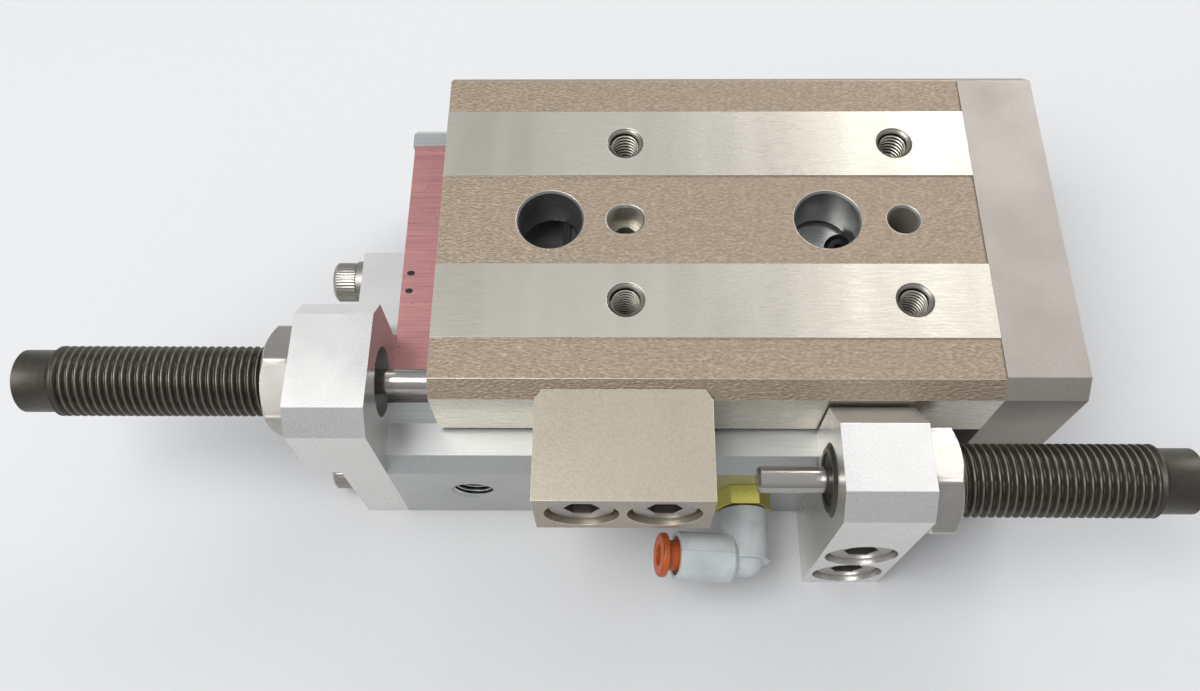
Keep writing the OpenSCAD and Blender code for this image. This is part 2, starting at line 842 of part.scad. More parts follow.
module far_piston_rod() {
  color([0.8, 0.8, 0.82])
  piston_rod(bore_y);
}

module piston(y) {
  difference() {
    cyl_x(bore_diameter - 2 * run_fit, piston_rear, piston_front, y, bore_height);
    cyl_x(rod_step + 2 * seat_fit, piston_rear - 1, piston_front + 1, y, bore_height);
    translate([(piston_rear + piston_front - piston_groove) / 2, y, bore_height])
      rotate([0, 90, 0])
        ring(bore_diameter + 2, bore_diameter - 2 * piston_groove_depth, piston_groove);
  }
}

module near_piston() {
  color([0.75, 0.75, 0.75])
  piston(-bore_y);
}

module far_piston() {
  color([0.75, 0.75, 0.75])
  piston(bore_y);
}

module piston_seals() {
  color([0.08, 0.08, 0.08])
  for (y = [-bore_y, bore_y])
    translate([(piston_rear + piston_front - piston_groove) / 2 + run_fit, y, bore_height])
      rotate([0, 90, 0])
        ring(bore_diameter - 1.2 * run_fit,
          bore_diameter - 2 * piston_groove_depth + 2 * seat_fit,
          piston_groove - 2 * run_fit);
}

module piston_nuts() {
  color([0.6, 0.6, 0.6])
  for (y = [-bore_y, bore_y])
    translate([piston_rear - piston_nut_height, y, bore_height])
      rotate([0, 90, 0])
        difference() {
          cylinder(d = piston_nut_flats / cos(30), h = piston_nut_height, $fn = 6);
          translate([0, 0, -1])
            cylinder(d = rod_step + 2 * seat_fit, h = piston_nut_height + 2);
        }
}

// ---------------------------------------------------------------- table

module countersink(x, y, z, d, c) {
  translate([x, y, z - c])
    cylinder(d1 = d, d2 = d + 2 * c + 0.02, h = c + 0.01);
}

module table() {
  c = table_chamfer;
  t = table_half;
  r = strip_relief;
  near = [
    [-t, leg_bottom],
    [-t, table_top - c],
    [-t + c - r, channel_top],
    [-strip_outer, channel_top],
    [-strip_outer, table_top],
    [-channel_half, table_top],
    [-channel_half, channel_top]
  ];
  far = [for (i = [len(near) - 1 : -1 : 0]) [-near[i][0], near[i][1]]];
  under = [
    [leg_foot, leg_bottom],
    [leg_foot, leg_step],
    [leg_inner, leg_step],
    [leg_inner, plate_under],
    [-leg_inner, plate_under],
    [-leg_inner, leg_step],
    [-leg_foot, leg_step],
    [-leg_foot, leg_bottom]
  ];
  color([0.66, 0.62, 0.57])
  difference() {
    bar_x(concat(near, far, under), table_rear, table_front);
    for (s = [-1, 1])
      cyl_x(2 * track_radius, table_rear - 1, table_front + 1, s * track_y, track_height);
    for (x = [work_rear_x, work_rear_x + work_pitch_x])
      for (y = [-work_pitch_y / 2, work_pitch_y / 2]) {
        cyl_z(work_core, plate_under - 1, table_top + 1, x, y);
        countersink(x, y, table_top, work_core, (work_rim - work_core) / 2);
      }
    for (x = [body_screw_rear + access_shift, body_screw_front + access_shift]) {
      cyl_z(access_diameter, plate_under - 1, table_top + 1, x, 0);
      countersink(x, 0, channel_top, access_diameter, hole_chamfer);
    }
    cyl_z(pin_diameter, plate_under - 1, table_top + 1, pin_front_x, 0);
    countersink(pin_front_x, 0, channel_top, pin_diameter, hole_chamfer);
    for (s = [-1, 1]) {
      cyl_z(pin_diameter, channel_top - 6.5, table_top + 1, pin_rear_x + s * pin_slot / 2, 0);
      countersink(pin_rear_x + s * pin_slot / 2, 0, channel_top, pin_diameter, hole_chamfer);
    }
    box(pin_rear_x - pin_slot / 2, pin_rear_x + pin_slot / 2, -pin_diameter / 2,
      pin_diameter / 2, channel_top - 6.5, table_top + 1);
    cyl_z(4.5, plate_under - 1, channel_top, pin_rear_x, 0);
    for (s = [-1, 1])
      cyl_y(m8_thread + 2 * seat_fit, -table_half - 1, -table_half + 6.2,
        stopper_x + s * stopper_screw_pitch / 2, stopper_screw_z);
    for (y = plate_screws_y)
      cyl_x(m5_thread + 2 * seat_fit, table_front - thread_grip - 2, table_front + 1,
        y, plate_screw_z);
  }
}

module plate_screw_hole(y, z) {
  cyl_x(m5 + screw_clearance, table_front - 1, plate_front + 1, y, z);
  cyl_x(m5_head + 2 * head_gap, plate_front - m5_sunk, plate_front + 1, y, z);
}

module end_plate() {
  c = table_chamfer;
  t = table_half;
  color([0.76, 0.74, 0.7])
  difference() {
    bar_x([
      [-t, end_plate_bottom + 1],
      [-t, table_top - c],
      [-t + c, table_top],
      [t - c, table_top],
      [t, table_top - c],
      [t, end_plate_bottom + 1],
      [t - 1, end_plate_bottom],
      [-t + 1, end_plate_bottom]
    ], table_front, plate_front);
    for (y = plate_screws_y)
      plate_screw_hole(y, plate_screw_z);
    for (y = [-bore_y, bore_y])
      plate_screw_hole(y, bore_height);
  }
}

module end_plate_screws() {
  color([0.2, 0.2, 0.21])
  for (y = plate_screws_y)
    translate([plate_front - m5_sunk, y, plate_screw_z])
      rotate([0, 90, 0])
        socket_screw(m5_head, m5, m5_socket, m5_thread, end_plate_thickness - m5_sunk + thread_grip);
}

module rod_screws() {
  color([0.2, 0.2, 0.21])
  for (y = [-bore_y, bore_y])
    translate([plate_front - m5_sunk, y, bore_height])
      rotate([0, 90, 0])
        socket_screw(m5_head, m5, m5_socket, m5_thread,
          end_plate_thickness - m5_sunk + thread_grip + 2);
}

module stopper_block() {
  hook = table_half - 1.45;
  color([0.7, 0.66, 0.61])
  difference() {
    bar_x([
      [-stopper_near, stopper_bottom],
      [-stopper_near, stopper_top],
      [-hook, stopper_top],
      [-hook, table_top - table_chamfer + 1.5],
      [-table_half, table_top - table_chamfer + 0.05],
      [-table_half, stopper_bottom]
    ], stopper_rear, stopper_front);
    for (s = [-1, 1])
      translate([stopper_x + s * (stopper_length / 2 - 1.3), -hook, stopper_bottom - 1])
        rotate([0, 0, s * -60])
          translate([s == 1 ? 0 : -6, 0, 0])
            cube([6, 3, 30]);
    for (s = [-1, 1]) {
      x = stopper_x + s * stopper_screw_pitch / 2;
      cyl_y(m8 + screw_clearance, -stopper_near - 1, -table_half + 1, x, stopper_screw_z);
      cyl_y(counterbore_m8, -stopper_near - 1, -stopper_near + counterbore_depth,
        x, stopper_screw_z);
    }
  }
}

module stopper_screws() {
  color([0.35, 0.35, 0.36])
  for (s = [-1, 1])
    translate([stopper_x + s * stopper_screw_pitch / 2, -stopper_near + counterbore_depth,
      stopper_screw_z])
      rotate([90, 0, 0])
        socket_screw(m8_head, m8, m8_socket, m8_thread, stopper_depth - counterbore_depth + 5.8);
}

// ---------------------------------------------------------------- shock absorbers

// rod end at x = 0, closed end to positive X, axis on X
module absorber_tube() {
  rotate([0, 90, 0])
    difference() {
      union() {
        cylinder(d1 = absorber_thread - 2 * thread_chamfer, d2 = absorber_thread,
          h = thread_chamfer);
        translate([0, 0, thread_chamfer])
          cylinder(d = absorber_thread, h = thread_end - thread_chamfer);
        translate([0, 0, thread_end])
          cylinder(d1 = absorber_thread, d2 = neck_diameter, h = thread_chamfer);
        translate([0, 0, absorber_length - neck_length - 0.1])
          cylinder(d = neck_diameter, h = neck_length - 0.4);
        translate([0, 0, absorber_length - 0.5])
          cylinder(d1 = neck_diameter, d2 = neck_diameter - 1, h = 0.5);
      }
      translate([0, 0, -1])
        cylinder(d = absorber_bore, h = spring_end + 1);
    }
}

module absorber_gland() {
  translate([gland_recess, 0, 0])
    rotate([0, 90, 0])
      ring(absorber_bore - 2 * seat_fit, plunger_diameter + 2 * run_fit, gland_length);
}

module plunger() {
  rotate([0, 90, 0]) {
    translate([0, 0, -plunger_out])
      cylinder(d1 = plunger_diameter - 1, d2 = plunger_diameter, h = 0.5);
    translate([0, 0, -plunger_out + 0.5])
      cylinder(d = plunger_diameter, h = plunger_out + head_start);
    translate([0, 0, head_start])
      cylinder(d = absorber_bore - 2 * run_fit, h = head_length);
  }
}

module return_spring() {
  length = spring_end - head_start - head_length - 0.1;
  sector = 360 * 1.1 * spring_coils / length;
  outer = absorber_bore / 2 - spring_room;
  inner = outer - spring_wire;
  n = 3;
  translate([spring_end - length, 0, 0])
    rotate([0, 90, 0])
      linear_extrude(height = length, twist = -360 * spring_coils,
        slices = spring_coils * 12, $fn = 8)
        polygon(concat(
          [for (i = [0 : n]) outer * [cos(sector * i / n), sin(sector * i / n)]],
          [for (i = [n : -1 : 0]) inner * [cos(sector * i / n), sin(sector * i / n)]]
        ));
}

module at_front() {
  translate([front_ring, -front_absorber_y, absorber_z])
    children();
}

module at_rear() {
  translate([rear_ring, -rear_absorber_y, absorber_z])
    rotate([0, 0, 180])
      children();
}

module front_absorber_body() {
  color([0.3, 0.27, 0.23])
  at_front()
    absorber_tube();
}

module front_absorber_gland() {
  color([0.55, 0.52, 0.46])
  at_front()
    absorber_gland();
}

module front_plunger() {
  color([0.8, 0.8, 0.8])
  at_front()
    plunger();
}

module front_return_spring() {
  color([0.4, 0.4, 0.42])
  at_front()
    return_spring();
}

module front_lock_nut() {
  color([0.72, 0.7, 0.66])
  translate([front_holder_end, -front_absorber_y, absorber_z])
    rotate([0, 90, 0])
      hex_nut(nut_flats, nut_height, absorber_thread + 2 * seat_fit, front_nut_turn);
}

module rear_absorber_body() {
  color([0.3, 0.27, 0.23])
  at_rear()
    absorber_tube();
}

module rear_absorber_gland() {
  color([0.55, 0.52, 0.46])
  at_rear()
    absorber_gland();
}

module rear_plunger() {
  color([0.8, 0.8, 0.8])
  at_rear()
    plunger();
}

module rear_return_spring() {
  color([0.4, 0.4, 0.42])
  at_rear()
    return_spring();
}

module rear_lock_nut() {
  color([0.72, 0.7, 0.66])
  translate([boss_rear - nut_height, -rear_absorber_y, absorber_z])
    rotate([0, 90, 0])
      hex_nut(nut_flats, nut_height, absorber_thread + 2 * seat_fit, rear_nut_turn);
}

// ---------------------------------------------------------------- holders

module front_holder() {
  far = table_half + holder_gap;
  color([0.88, 0.87, 0.86])
  difference() {
    bar_x([
      [-front_holder_near, 0],
      [-front_holder_near, holder_top - holder_chamfer],
      [-front_holder_near + holder_chamfer, holder_top],
      [-far - 6, holder_top],
      [-far, holder_top - 7.4],
      [-far, ledge_height],
      [-body_near, ledge_height],
      [-body_near, 0]
    ], front_holder_x, front_holder_end);
    cyl_x(absorber_thread + 2 * seat_fit, front_holder_x - 1, front_holder_end + 1,
      -front_absorber_y, absorber_z);
    for (z = [front_screw_low, front_screw_high]) {
      cyl_y(m8 + screw_clearance, -front_holder_near - 1, -body_near + 1, front_screw_x, z);
      cyl_y(counterbore_m8, -front_holder_near - 1, -front_holder_near + counterbore_depth,
        front_screw_x, z);
    }
  }
}

module front_holder_screws() {
  color([0.35, 0.35, 0.36])
  for (z = [front_screw_low, front_screw_high])
    translate([front_screw_x, -front_holder_near + counterbore_depth, z])
      rotate([90, 0, 0])
        socket_screw(m8_head, m8, m8_socket, m8_thread,
          front_holder_near - body_near - counterbore_depth + thread_grip + 2);
}

module rear_holder() {
  c = holder_chamfer;
  r = boss_length - holder_plate;
  color([0.88, 0.87, 0.86])
  difference() {
    union() {
      difference() {
        bar_x([
          [-body_near, boss_bottom],
          [-body_near, holder_top - c],
          [-body_near + c, holder_top],
          [-boss_far - c, holder_top],
          [-boss_far, holder_top - c],
          [-boss_far, boss_bottom]
        ], boss_rear, body_rear);
        // rounded lower rear corner of the boss
        difference() {
          box(boss_rear - 1, plate_rear, -body_near - 1, -boss_far + 1,
            boss_bottom - 1, boss_bottom + r);
          cyl_y(2 * r, -body_near - 2, -boss_far + 2, plate_rear, boss_bottom + r);
        }
      }
      box(plate_rear, body_rear, -body_near, holder_plate_far, 0, ledge_height);
      // fillet between the plate's top and the boss
      difference() {
        box(plate_rear, body_rear, -boss_far - 0.1, -boss_far + holder_fillet,
          ledge_height - 0.1, ledge_height + holder_fillet);
        cyl_x(2 * holder_fillet, plate_rear - 1, body_rear + 1, -boss_far + holder_fillet,
          ledge_height + holder_fillet);
      }
    }
    cyl_x(absorber_thread + 2 * seat_fit, boss_rear - 1, body_rear + 1,
      -rear_absorber_y, absorber_z);
    for (s = rear_screws)
      cyl_x(m5 + screw_clearance, plate_rear - 1, body_rear + 1, s[0], s[1]);
    // rounded lower far corner of the plate
    difference() {
      box(plate_rear - 1, body_rear + 1, holder_plate_far - 4, holder_plate_far + 1, -1, 4);
      cyl_x(8, plate_rear - 2, body_rear + 2, holder_plate_far - 4, 4);
    }
  }
}

module rear_holder_screws() {
  color([0.35, 0.35, 0.36])
  for (s = rear_screws)
    translate([plate_rear - washer_thickness, s[0], s[1]])
      rotate([0, -90, 0])
        socket_screw(m5_head, m5, m5_socket, m5_thread, washer_thickness + holder_plate + thread_grip);
}

module rear_holder_washers() {
  color([0.6, 0.6, 0.6])
  for (s = rear_screws)
    translate([plate_rear - washer_thickness, s[0], s[1]])
      rotate([0, 90, 0])
        difference() {
          ring(m5_head + 0.7, m5 + 0.1, washer_thickness);
          translate([-0.4, 0, -1])
            cube([0.8, 6, washer_thickness + 2]);
        }
}

// ---------------------------------------------------------------- air fitting

module fitting_stud() {
  color([0.78, 0.72, 0.32])
  difference() {
    union() {
      cyl_y(stud_thread, -body_near, -body_near + port_depth - 1.5, front_port_x, bore_height);
      translate([front_port_x, -body_near, bore_height])
        rotate([90, 0, 0])
          cylinder(d = stud_flats / cos(30), h = stud_hex, $fn = 6);
      cyl_y(spigot_diameter, -leg_start - spigot_length, -body_near - stud_hex + 0.1,
        front_port_x, bore_height);
    }
    cyl_y(stud_bore, -leg_start - spigot_length - 1, -body_near + port_depth,
      front_port_x, bore_height);
    translate([front_port_x, -elbow_ring_y + elbow_oring / 2 + 0.22, bore_height])
      rotate([90, 0, 0])
        ring(spigot_diameter + 1.5, spigot_diameter - 2 * elbow_oring + 0.02,
          elbow_oring + 0.44);
  }
}

module elbow_o_ring() {
  color([0.08, 0.08, 0.08])
  translate([front_port_x, -elbow_ring_y, bore_height])
    rotate([90, 0, 0])
      torus((spigot_diameter - elbow_oring) / 2 + run_fit, elbow_oring);
}

// leg axis at x = 0 and z = 0, branch towards negative X before it is turned
module at_elbow() {
  translate([front_port_x, 0, bore_height])
    rotate([0, elbow_turn, 0])
      children();
}

module at_sleeve(x) {
  at_elbow()
    translate([x, -branch_y, 0])
      rotate([0, 90, 0])
        children();
}

module elbow_body() {
  color([0.8, 0.82, 0.82])
  at_elbow()
    difference() {
      union() {
        cyl_y(leg_diameter, -leg_end, -leg_start, 0, 0);
        translate([0, -branch_y, 0])
          sphere(d = corner_diameter);
        cyl_x(corner_diameter, sleeve_inner - 0.5, 0, -branch_y, 0);
        cyl_x(sleeve_diameter, sleeve_mouth, sleeve_inner - sleeve_chamfer, -branch_y, 0);
        translate([sleeve_inner - sleeve_chamfer, -branch_y, 0])
          rotate([0, 90, 0])
            cylinder(d1 = sleeve_diameter, d2 = sleeve_diameter - 2 * sleeve_chamfer,
              h = sleeve_chamfer);
      }
      cyl_y(spigot_diameter + 2 * run_fit, -leg_start - spigot_length - 0.5, -leg_start + 1,
        0, 0);
      cyl_y(stud_bore, -branch_y, -leg_start - spigot_length, 0, 0);
      cyl_x(elbow_bore, sleeve_floor, 0, -branch_y, 0);
      cyl_x(tube_hole, sleeve_mouth + 1, sleeve_floor + tube_stop, -branch_y, 0);
      cyl_x(sleeve_bore, sleeve_mouth - 1, sleeve_floor, -branch_y, 0);
    }
}

module tube_guide_ring() {
  color([0.78, 0.72, 0.32])
  at_sleeve(sleeve_mouth + guide_ring_inset)
    ring(sleeve_bore - 2 * seat_fit, button_neck + 2 * run_fit, guide_ring_length);
}

module tube_grip_ring() {
  color([0.7, 0.7, 0.7])
  at_sleeve(grip_ring_x)
    ring(sleeve_bore - 2 * seat_fit, tube_hole, grip_ring_thickness);
}

module tube_seal() {
  color([0.08, 0.08, 0.08])
  at_sleeve(tube_seal_x)
    ring(sleeve_bore - 2 * seat_fit, tube_hole, tube_seal_length);
}

module release_button() {
  color([0.86, 0.4, 0.15])
  at_sleeve(sleeve_mouth)
    difference() {
      union() {
        translate([0, 0, -button_out])
          cylinder(d1 = button_diameter - 0.6, d2 = button_diameter, h = 0.4);
        translate([0, 0, -button_out + 0.4])
          cylinder(d = button_diameter, h = button_rim - 0.4);
        translate([0, 0, -button_out + button_rim - 0.1])
          cylinder(d = button_neck, h = button_out - button_rim + 0.1 + button_inside);
      }
      translate([0, 0, -button_out - 1])
        cylinder(d = tube_hole, h = button_out + button_inside + 2);
    }
}

cylinder_body();
guide_block();
guide_block_screws();
guide_end_cover_rear();
guide_end_cover_front();
guide_scraper_rear();
guide_scraper_front();
guide_cover_screws();
near_ball_row();
far_ball_row();
near_rod_bushing();
far_rod_bushing();
rod_seals();
bushing_o_rings();
near_end_cap();
far_end_cap();
end_cap_o_rings();
retaining_rings();
fitting_stud();
elbow_o_ring();
rear_holder();
rear_holder_screws();
rear_holder_washers();
rear_absorber_body();
rear_absorber_gland();
rear_return_spring();
rear_lock_nut();
front_holder();
front_holder_screws();
front_absorber_body();
front_absorber_gland();
front_return_spring();
front_lock_nut();
table();
end_plate();
end_plate_screws();
rod_screws();
near_piston_rod();
far_piston_rod();
near_piston();
far_piston();
piston_seals();
piston_nuts();
stopper_block();
stopper_screws();
rear_plunger();
front_plunger();
elbow_body();
tube_guide_ring();
tube_grip_ring();
tube_seal();
release_button();
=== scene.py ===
import json
import math

import bmesh
import bpy
import numpy as np
from bpy.props import FloatProperty, FloatVectorProperty, IntProperty, PointerProperty
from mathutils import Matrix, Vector


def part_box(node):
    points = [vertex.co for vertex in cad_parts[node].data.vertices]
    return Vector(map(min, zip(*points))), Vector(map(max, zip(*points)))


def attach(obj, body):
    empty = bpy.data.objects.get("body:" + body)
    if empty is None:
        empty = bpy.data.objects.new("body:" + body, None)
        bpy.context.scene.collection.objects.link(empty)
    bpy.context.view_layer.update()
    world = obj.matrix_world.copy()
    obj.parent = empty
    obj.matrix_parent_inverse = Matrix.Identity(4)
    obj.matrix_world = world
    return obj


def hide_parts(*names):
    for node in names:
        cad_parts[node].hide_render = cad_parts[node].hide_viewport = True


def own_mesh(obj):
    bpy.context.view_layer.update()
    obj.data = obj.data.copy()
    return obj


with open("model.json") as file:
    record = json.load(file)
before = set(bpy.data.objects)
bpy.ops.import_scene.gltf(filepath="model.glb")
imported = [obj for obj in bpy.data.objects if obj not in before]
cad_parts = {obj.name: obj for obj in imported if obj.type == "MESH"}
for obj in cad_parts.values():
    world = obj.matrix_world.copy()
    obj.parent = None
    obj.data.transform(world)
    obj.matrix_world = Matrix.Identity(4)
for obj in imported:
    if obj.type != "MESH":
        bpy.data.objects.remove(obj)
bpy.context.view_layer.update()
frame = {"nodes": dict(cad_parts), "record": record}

bl_info = {
    "name": "Pneumatic slide table",
    "version": (1, 0, 0),
    "blender": (4, 5, 0),
    "location": "View3D > Sidebar > Slide table",
    "description": "Dresses the slide table's solids with threads, knurls, edges and finishes",
    "category": "Object",
}

MM = 0.001
MERGE_MM = 0.002  # corners of a CAD mesh's triangles nearer than this are one point
ROWS_PER_TURN = 12  # rows of points along one pitch of a screw thread
SQUARE = 0.99  # a face lies square to an axis where its normal's share along it is more
NODES = frame["nodes"]
BODY_OF = {
    node: body
    for body, members in frame["record"]["behaviour"]["bodies"].items()
    for node in members
}


# ------------------------------------------------------------------ frame


def box_mm(node):
    """Lowest and highest corner of a CAD node as numpy arrays in millimetres."""
    low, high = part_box(node)
    return np.array(low) / MM, np.array(high) / MM


def centre_mm(node):
    """Middle of a CAD node's box in millimetres."""
    low, high = box_mm(node)
    return (low + high) / 2


def frame_mount(name):
    """The record's mount of that name."""
    return next(m for m in frame["record"]["mounts"] if m["name"] == name)


# ------------------------------------------------------------------ meshes


def direction(toward):
    """The unit vector of "+X", "-X", "+Y", "-Y", "+Z" or "-Z"."""
    unit = np.zeros(3)
    unit["XYZ".index(toward[1])] = 1.0 if toward[0] == "+" else -1.0
    return unit


def values(items, name, width, kind=float):
    """One property of a mesh's items as an array with width numbers for each item."""
    flat = np.empty(len(items) * width, dtype=kind)
    items.foreach_get(name, flat)
    return flat.reshape(-1, width)


def add_object(name, data):
    """A new object of the scene that shows the mesh, lamp or camera data."""
    added = bpy.data.objects.new(name, data)
    bpy.context.scene.collection.objects.link(added)
    return added


def mark_sharp(mesh, angle_deg):
    """Smooth faces, with a hard edge wherever two faces meet at more than angle_deg."""
    work = bmesh.new()
    work.from_mesh(mesh)
    limit = math.radians(angle_deg)
    for face in work.faces:
        face.smooth = True
    for edge in work.edges:
        edge.smooth = len(edge.link_faces) == 2 and edge.calc_face_angle(0.0) < limit
    work.to_mesh(mesh)
    work.free()


def skin(points, loop_rows=False, start=None, end=None):
    """Faces over a grid of points (rows, columns, 3), columns closed on themselves.

    Each cell of the grid is one quad. loop_rows joins the last row to the first one, and
    start and end are single points that close the first and the last row as a fan.
    """
    rows, columns, _ = points.shape
    index = np.arange(rows * columns).reshape(rows, columns)
    lower = index if loop_rows else index[:-1]
    upper = np.roll(index, -1, axis=0) if loop_rows else index[1:]
    quads = np.stack(
        [lower, np.roll(lower, -1, axis=1), np.roll(upper, -1, axis=1), upper], axis=-1
    ).reshape(-1, 4)
    vertices = points.reshape(-1, 3)
    faces = quads.tolist()
    for pole, row in ((start, index[0]), (end, index[-1])):
        if pole is None:
            continue
        tip = len(vertices)
        vertices = np.vstack([vertices, pole])
        fan = np.stack([row, np.roll(row, -1), np.full(columns, tip)], axis=-1)
        faces += (fan if row is index[-1] else fan[:, ::-1]).tolist()
    return vertices, faces


def add_piece(name, parts, node, sharp=35.0):
    """One object from parts of vertices in millimetres, faces and maybe crest values.

    Crest values, one for each vertex, become the piece's crest attribute.
    """
    offset, vertices, faces, crests = 0, [], [], []
    for part_vertices, part_faces, *crest in parts:
        vertices.append(part_vertices)
        faces += [[corner + offset for corner in face] for face in part_faces]
        offset += len(part_vertices)
        crests += crest
    mesh = bpy.data.meshes.new(name)
    mesh.from_pydata((np.vstack(vertices) * MM).tolist(), [], faces)
    mesh.validate()
    work = bmesh.new()
    work.from_mesh(mesh)
    bmesh.ops.recalc_face_normals(work, faces=work.faces)
    work.to_mesh(mesh)
    work.free()
    if crests:
        layer = mesh.attributes.new("crest", "FLOAT", "POINT")
        layer.data.foreach_set("value", np.concatenate(crests).astype(np.float32))
    mark_sharp(mesh, sharp)
    piece = add_object(name, mesh)
    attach(piece, BODY_OF[node])
    return piece


def dress_copy(node, edge_mm, segments=2, reshape=None):
    """A merged copy of a CAD node with its edges broken by edge_mm, in place of the node.

    reshape may move the copy's vertices, given and returned in millimetres.
    """
    flat_deg, smooth_deg, edge_deg = 0.4, 30.0, 35.0
    mesh = NODES[node].data.copy()
    mesh.name = node + "_dressed"
    mesh.materials.clear()
    work = bmesh.new()
    work.from_mesh(mesh)
    bmesh.ops.remove_doubles(work, verts=work.verts, dist=MERGE_MM * MM)
    bmesh.ops.dissolve_limit(
        work, angle_limit=math.radians(flat_deg), verts=work.verts, edges=work.edges
    )
    work.to_mesh(mesh)
    work.free()
    if reshape is not None:
        places = reshape(values(mesh.vertices, "co", 3) / MM) * MM
        mesh.vertices.foreach_set("co", places.ravel())
    mark_sharp(mesh, smooth_deg)
    piece = add_object(node + "_dressed", mesh)
    if edge_mm > 0:
        edge = piece.modifiers.new("edge break", "BEVEL")
        edge.width = edge_mm * MM
        edge.segments = segments
        edge.limit_method = "ANGLE"
        edge.angle_limit = math.radians(edge_deg)
        edge.harden_normals = True
    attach(piece, BODY_OF[node])
    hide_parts(node)
    return piece


def break_rings(piece, rings, axis, place, edge_mm):
    """Breaks only the edges on some rings round an axis, with the Bevel modifier.

    A ring is (distance along the axis from place, radius), and an edge lies on it where
    both its ends are near both values.
    """
    near_mm = 0.05
    points = values(piece.data.vertices, "co", 3) / MM - place
    along = points @ axis
    radius = np.linalg.norm(points - along[:, None] * axis, axis=1)
    ends = values(piece.data.edges, "vertices", 2, np.int32)
    weight = np.zeros(len(ends), dtype=np.float32)
    for distance, size in rings:
        near = (np.abs(along - distance) < near_mm) & (np.abs(radius - size) < near_mm)
        weight[near[ends].all(axis=1)] = 1.0
    layer = piece.data.attributes.get("bevel_weight_edge")
    if layer is None:
        layer = piece.data.attributes.new("bevel_weight_edge", "FLOAT", "EDGE")
    held = values(layer.data, "value", 1, np.float32).ravel()
    layer.data.foreach_set("value", np.maximum(held, weight))
    if "ring break" not in piece.modifiers:
        edge = piece.modifiers.new("ring break", "BEVEL")
        edge.width, edge.segments, edge.limit_method = edge_mm * MM, 3, "WEIGHT"
        edge.harden_normals = True


def faces_of(piece):
    """x, y and z of the face centres in millimetres, and of the face normals."""
    faces = piece.data.polygons
    return values(faces, "center", 3).T / MM, values(faces, "normal", 3).T


def paint(piece, materials, pick=None, edge=None):
    """Gives a piece its materials; pick holds each face's material number.

    edge is the material of the faces that the edge break adds.
    """
    piece.data.materials.clear()
    for material in materials:
        piece.data.materials.append(material)
    if edge is not None:
        piece.data.materials.append(edge)
        piece.modifiers["edge break"].material = len(materials)
    if pick is not None:
        piece.data.polygons.foreach_set("material_index", pick.astype(np.int32))


def turned(axial, radius, angles, place, toward):
    """Points at an axial distance and a radius round an axis that starts at place.

    A point is place, plus the axial distance along toward, plus the radius times the
    cosine and the sine of its angle along the two directions that make a right-handed set
    with it.
    """
    along = direction(toward)
    side = direction("+Y" if toward[1] != "Y" else "+Z")
    third = np.cross(along, side)
    shape = np.broadcast(axial, radius, angles).shape
    axial, radius, angles = (
        np.broadcast_to(array, shape)[..., None] for array in (axial, radius, angles)
    )
    return np.asarray(place) + axial * along + radius * (
        np.cos(angles) * side + np.sin(angles) * third
    )


def round_angles(count):
    """count angles once round, as a row."""
    return np.linspace(0.0, 2 * math.pi, count, endpoint=False)[None, :]


def hexagon_radius(flats, angles):
    """Distance from the centre to a hexagon's side: half the flats over the cosine of the
    angle from the nearest flat's middle."""
    from_flat = (angles + math.pi / 6) % (math.pi / 3) - math.pi / 6
    return flats / 2 / np.cos(from_flat)


def thread_wave(axial, angles, pitch, flat):
    """0 in the roots and 1 on the crests of a screw thread.

    A triangle wave of the axial place over the pitch, less the share of the turn, with
    the share flat of its height cut off its crests and its roots.
    """
    phase = (axial / pitch - angles / (2 * math.pi)) % 1.0
    triangle = 1.0 - np.abs(2.0 * phase - 1.0)
    return np.clip((triangle - flat) / (1.0 - 2.0 * flat), 0.0, 1.0)


# ------------------------------------------------------------------ finishes


def linear(colour):
    """A display colour as linear light with alpha 1."""
    value = np.array(colour[:3])
    low = value / 12.92
    high = ((value + 0.055) / 1.055) ** 2.4
    return (*np.where(value <= 0.04045, low, high).tolist(), 1.0)


def shade(colour, factor):
    """A display colour made darker or lighter by a factor."""
    return tuple(min(1.0, channel * factor) for channel in colour[:3])


